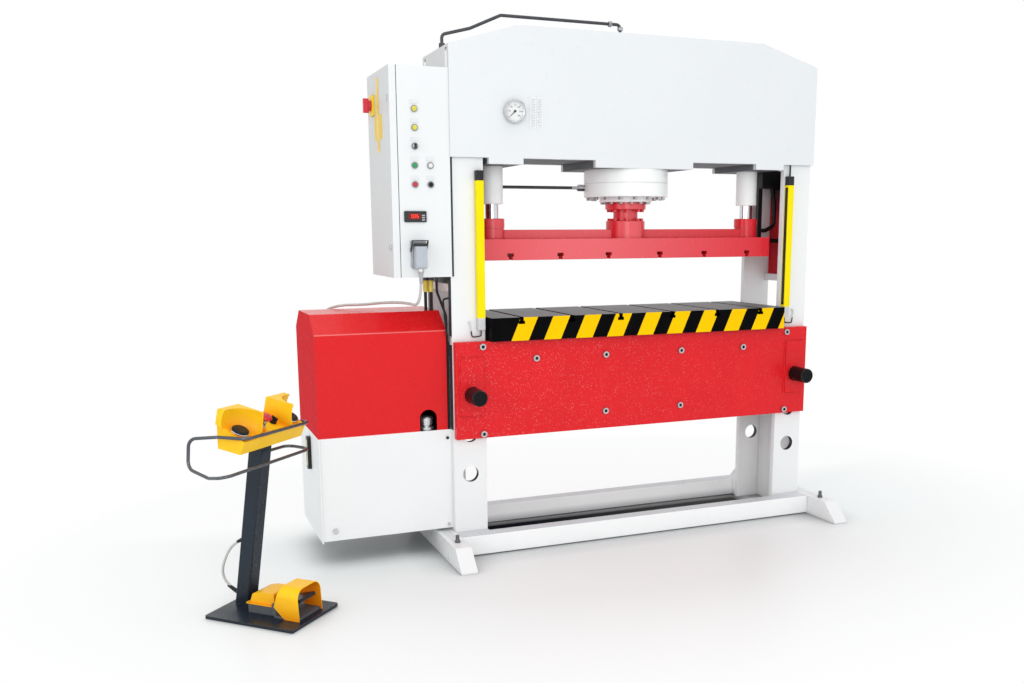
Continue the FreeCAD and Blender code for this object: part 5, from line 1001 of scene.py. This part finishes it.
def make_timer_digits():
    """Glowing seven-segment figures in the timer's window."""
    s = Shader("digit")
    glow = s.tone((0.95, 0.05, 0.03), 0.15, 300)
    red_glow = s.finish(glow, 0.5, glow=glow)
    shown = {"0": "abcdef", "5": "acdfg", "3": "abcdg"}
    width, stroke = DIGIT_WIDTH, DIGIT_STROKE
    half = DIGIT_HEIGHT / 2
    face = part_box("cabinet_body")[0].y - 0.00552
    # middle, width and height of each stroke
    strokes = {
        "a": (0, half, width, stroke), "g": (0, 0, width, stroke), "d": (0, -half, width, stroke),
        "b": (width / 2, half / 2, stroke, half), "c": (width / 2, -half / 2, stroke, half),
        "f": (-width / 2, half / 2, stroke, half), "e": (-width / 2, -half / 2, stroke, half),
    }
    quads = []
    for place, figure in enumerate("035"):
        middle_x = DIGIT_X + place * DIGIT_PITCH
        for key in shown[figure]:
            dx, dz, w, h = strokes[key]
            x, z = middle_x + dx, DIGIT_Z + dz
            corners = rectangle(x - w / 2, x + w / 2, face, z - h / 2, z + h / 2)
            quads.append((corners, (0, -0.0003, 0)))
    plates("timer_digits", quads, red_glow)


def make_welds():
    """Beads where the plates of the frame and ram meet, under their paint."""
    bed_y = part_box("bed_front_plate")[0].y + DOUBLER_THICK
    for end, y in (("front", bed_y), ("rear", -bed_y)):
        for side, x in (("left", -POST_X), ("right", POST_X)):
            corners = rectangle(x - DOUBLER_HALF, x + DOUBLER_HALF, y, *DOUBLER_Z)
            weld("weld_doubler_%s_%s" % (end, side), corners, 0.0045, red)
    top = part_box("ram_coupling")[0].z
    for side, sign in (("left", -1), ("right", 1)):
        boss = circle(sign * BOSS_X, 0, top, BOSS_BEAD_R)
        weld("weld_boss_" + side, boss, 0.004, smooth_red, "ram")
        for end, y in (("front", -RIB_Y), ("rear", RIB_Y)):
            line = [(sign * x, y, top) for x in RIB_ENDS]
            weld("weld_rib_%s_%s" % (side, end), line, 0.003, smooth_red, "ram", closed=False)
        for end, y in (("front", -BEAM_Y), ("rear", BEAM_Y)):
            for place, line in (("foot", [(sign * FOOT_BEAD_X, y, z) for z in FOOT_BEAD_Z]),
                                ("base", [(sign * x, y, BEAM_BEAD_Z) for x in BEAM_ENDS])):
                weld("weld_%s_%s_%s" % (place, side, end), line, 0.0035, white, closed=False)


def make_rims():
    """Bright rims round the palm buttons."""
    rim = metal("rim_steel", (0.66, 0.67, 0.69), 0.22, 200.0)
    profile = [(0.0302, 0.0), (0.0352, 0.0), (0.0352, 0.0030), (0.0335, 0.0046), (0.0312, 0.0046),
               (0.0302, 0.0034), (0.0302, 0.0)]
    for name in ("left", "right"):
        low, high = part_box("palm_button_" + name)
        foot = (low + high) / 2 - DESK_AXIS * 0.0062
        turned("palm_rim_" + name, profile, foot, DESK_AXIS, rim)


def make_trim():
    """Bare yellow plate on the cabinet's door, and dark strips of painted shade in the gaps beside the
    cabinet and hood, against the post.
    """
    s = Shader("door_plate")
    band = s.remap(s.noise(16, 4, 0.6, s.scaled(0, 0.6, 1)), 0.40, 0.60)
    c = s.mix(band, (0.74, 0.62, 0.12), (0.85, 0.55, 0.04))
    yellow = s.finish(c, s.sheen(60, 0.40, 0.50))
    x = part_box("cabinet_door")[0].x
    corners = [(x, 0.076, 1.788), (x, 0.076, 1.890), (x, -0.060, 1.890), (x, -0.060, 1.788)]
    plates("door_plate", [(corners, (-0.0012, 0, 0))], yellow, "door")
    # painted shade: thin dark strips in the gaps against the left post
    dark = moulded("gap_shadow", (0.035, 0.045, 0.060), 0.6)
    low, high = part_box("cabinet_body")
    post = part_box("upright_left")[0]
    quads = [(rectangle(post.x + 0.0005, post.x + 0.0145, post.y, low.z, high.z), (0, -0.0006, 0))]
    y0, y1 = post.y + 0.001, post.y + 0.040
    for z0, z1 in ((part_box("hood")[0].z, 0.925), (0.962, low.z)):
        side_shadow_strip = [(post.x, y0, z0), (post.x, y1, z0), (post.x, y1, z1), (post.x, y0, z1)]
        quads.append((side_shadow_strip, (-0.0006, 0, 0)))
    plates("post_shadow_strips", quads, dark)


def make_cords():
    """The cabinet's free cable and the short lead behind the pedestal, with a sleeve at each end."""
    grey_sheath = cable_material("cable_grey", (0.56, 0.56, 0.54))
    black = moulded("sleeve_black", (0.02, 0.02, 0.022), 0.5)
    pale = moulded("sleeve_grey", (0.40, 0.41, 0.42), 0.45)
    cable = make_cord("control_cable_run", CABLE_POINTS, CABLE_DIAMETER, grey_sheath, "control_cable")
    points = [on_pedestal(p) for p in LEAD_POINTS]
    lead = make_cord("pedestal_lead_run", points, LEAD_DIAMETER, grey_sheath, "pedestal_lead")
    reliefs = [
        relief("cable_relief_top",
               [(0.0098, -0.002), (0.0098, 0.006), (0.0084, 0.022), (0.0072, 0.042), (0.0063, 0.046)],
               CABLE_POINTS[0], (0, 0, -1), pale),
        relief("cable_relief_box", [(0.0096, -0.002), (0.0096, 0.008), (0.0080, 0.026), (0.0064, 0.040)],
               CABLE_POINTS[-1], (0, 0, 1), black),
    ]
    reliefs = [
        relief("lead_relief_low", [(0.0078, -0.002), (0.0078, 0.012), (0.0066, 0.036), (0.0054, 0.044)],
               points[-1], points[-2] - points[-1], black),
        relief("lead_relief_top", [(0.0076, -0.002), (0.0076, 0.006), (0.0060, 0.022), (0.0053, 0.026)],
               points[0], points[1] - points[0], black),
    ]


def make_pipe_nuts():
    """Six-sided collars where the crown's pipe ends over the drum."""
    nut = metal("pipe_nut", (0.34, 0.35, 0.37), 0.30, 160.0)
    profile = [(0.0071, 0.0), (0.0120, 0.0), (0.0132, 0.0015), (0.0132, 0.0145), (0.0120, 0.016),
               (0.0071, 0.016), (0.0071, 0.0)]
    for name, start, way in (("pipe_nut_down", (-0.037, 0, 2.300), (0, 0, 1)),
                             ("pipe_nut_along", (-0.096, 0, 2.326), (1, 0, 0))):
        turned(name, profile, start, way, nut, sides=6)


make_camera()
make_cords()
make_pipe_nuts()
make_gauge_marks()
make_timer_digits()
make_welds()
make_rims()
make_trim()


# ---- rounded edges ----
def round_edges(width, *names):
    """Rounds the sharp edges of CAD plates, which no saw leaves knife-sharp."""
    for name in names:
        node = NODES[name]
        joined = node.modifiers.new("join", "WELD")
        joined.merge_threshold = 1e-5
        bevel = node.modifiers.new("round", "BEVEL")
        bevel.width = width
        bevel.segments = 2
        bevel.limit_method = "ANGLE"
        bevel.angle_limit = math.radians(40)
        bevel.use_clamp_overlap = True
        bevel.harden_normals = True


round_edges(0.0015, "crown_front_plate", "crown_rear_plate", "bed_front_plate", "bed_rear_plate",
            "pressing_beam", "base_beams", "feet", "table")


# ---- stage ----
def make_floor():
    """Pale floor that fades into the white background, with painted shade where the machine stands close
    over it and a painted dark band between the base beams.
    """
    s = Shader("floor")
    x, y, _ = s.axes()
    c = s.tone((0.845, 0.885, 0.890), 0.006, 1.3)
    # painted shade: the floor darkens close under the machine's feet and beams
    c = crevice_shade(s, c, (0.10, 0.105, 0.11), 0.16, 0.85)
    s.grain(40, 8e-5)
    bounce = s.add("ShaderNodeBsdfPrincipled", {
        "Base Color": c, "Normal": s.heights, "Roughness": 0.35, "Specular IOR Level": 0.35,
    })
    # the floor between the base beams looks deeply shaded, as in the photograph
    # painted shade for the camera only: a dark band on the floor between the base beams
    seen = s.add("ShaderNodeLightPath").outputs["Is Camera Ray"]
    across = s.remap(s.math("ABSOLUTE", x), 0.72, 0.80, 1.0, 0.0)
    along = s.times(s.remap(y, 0.135, 0.195, 1.0, 0.2), s.below(y, 0.20))
    gap = s.times(across, s.remap(y, -0.22, -0.18), along, seen)
    dark = s.mix(s.remap(x, -0.45, 0.70), s.tone((0.010, 0.012, 0.017), 0.3, 9), (0.085, 0.090, 0.088))
    shade = s.add("ShaderNodeBsdfDiffuse", {"Color": dark})
    ground = s.blend(gap, bounce, shade)
    backdrop = s.add("ShaderNodeEmission", {"Color": rgba(grey(1.0)), "Strength": 1.0})
    offset = s.scaled(0.55, 0.75, 0.0, (0.10, -0.05, 0.0))
    away = s.add("ShaderNodeVectorMath", {0: offset}, operation="LENGTH").outputs["Value"]
    fade = s.either(s.remap(away, 0.75, 1.5), s.remap(y, 0.20, 0.60, 0.0, 0.8))
    s.end("ShaderNodeOutputMaterial", s.blend(s.times(fade, seen), ground, backdrop))
    bm = bmesh.new()
    bmesh.ops.create_grid(bm, x_segments=8, y_segments=8, size=20.0)
    mesh = mesh_from("floor", bm)
    mesh.materials.append(s.material)
    link("floor", mesh)


def make_light():
    """Soft studio light, in a world that is white to the camera and in reflections."""
    world = bpy.data.worlds.new("studio")
    scene.world = world
    w = Nodes(world)
    rays = w.add("ShaderNodeLightPath").outputs
    seen = w.either(rays["Is Camera Ray"], w.either(rays["Is Glossy Ray"], rays["Is Transmission Ray"]))
    ambient, plain = (w.add("ShaderNodeBackground", {"Color": rgba(grey(1.0)), "Strength": strength})
                      for strength in (AMBIENT, 1.0))
    w.end("ShaderNodeOutputWorld", w.blend(seen, ambient, plain))
    for name, place, size, power in LIGHTS:
        data = bpy.data.lights.new(name, "AREA")
        data.shape = "SQUARE"
        data.size = size
        data.energy = power
        light = link(name, data)
        light.location = place
        aim = LIGHT_AIM - Vector(place)
        light.rotation_euler = aim.to_track_quat("-Z", "Y").to_euler()


make_floor()
make_light()
scene.view_settings.view_transform = "Standard"

bpy.context.view_layer.update()
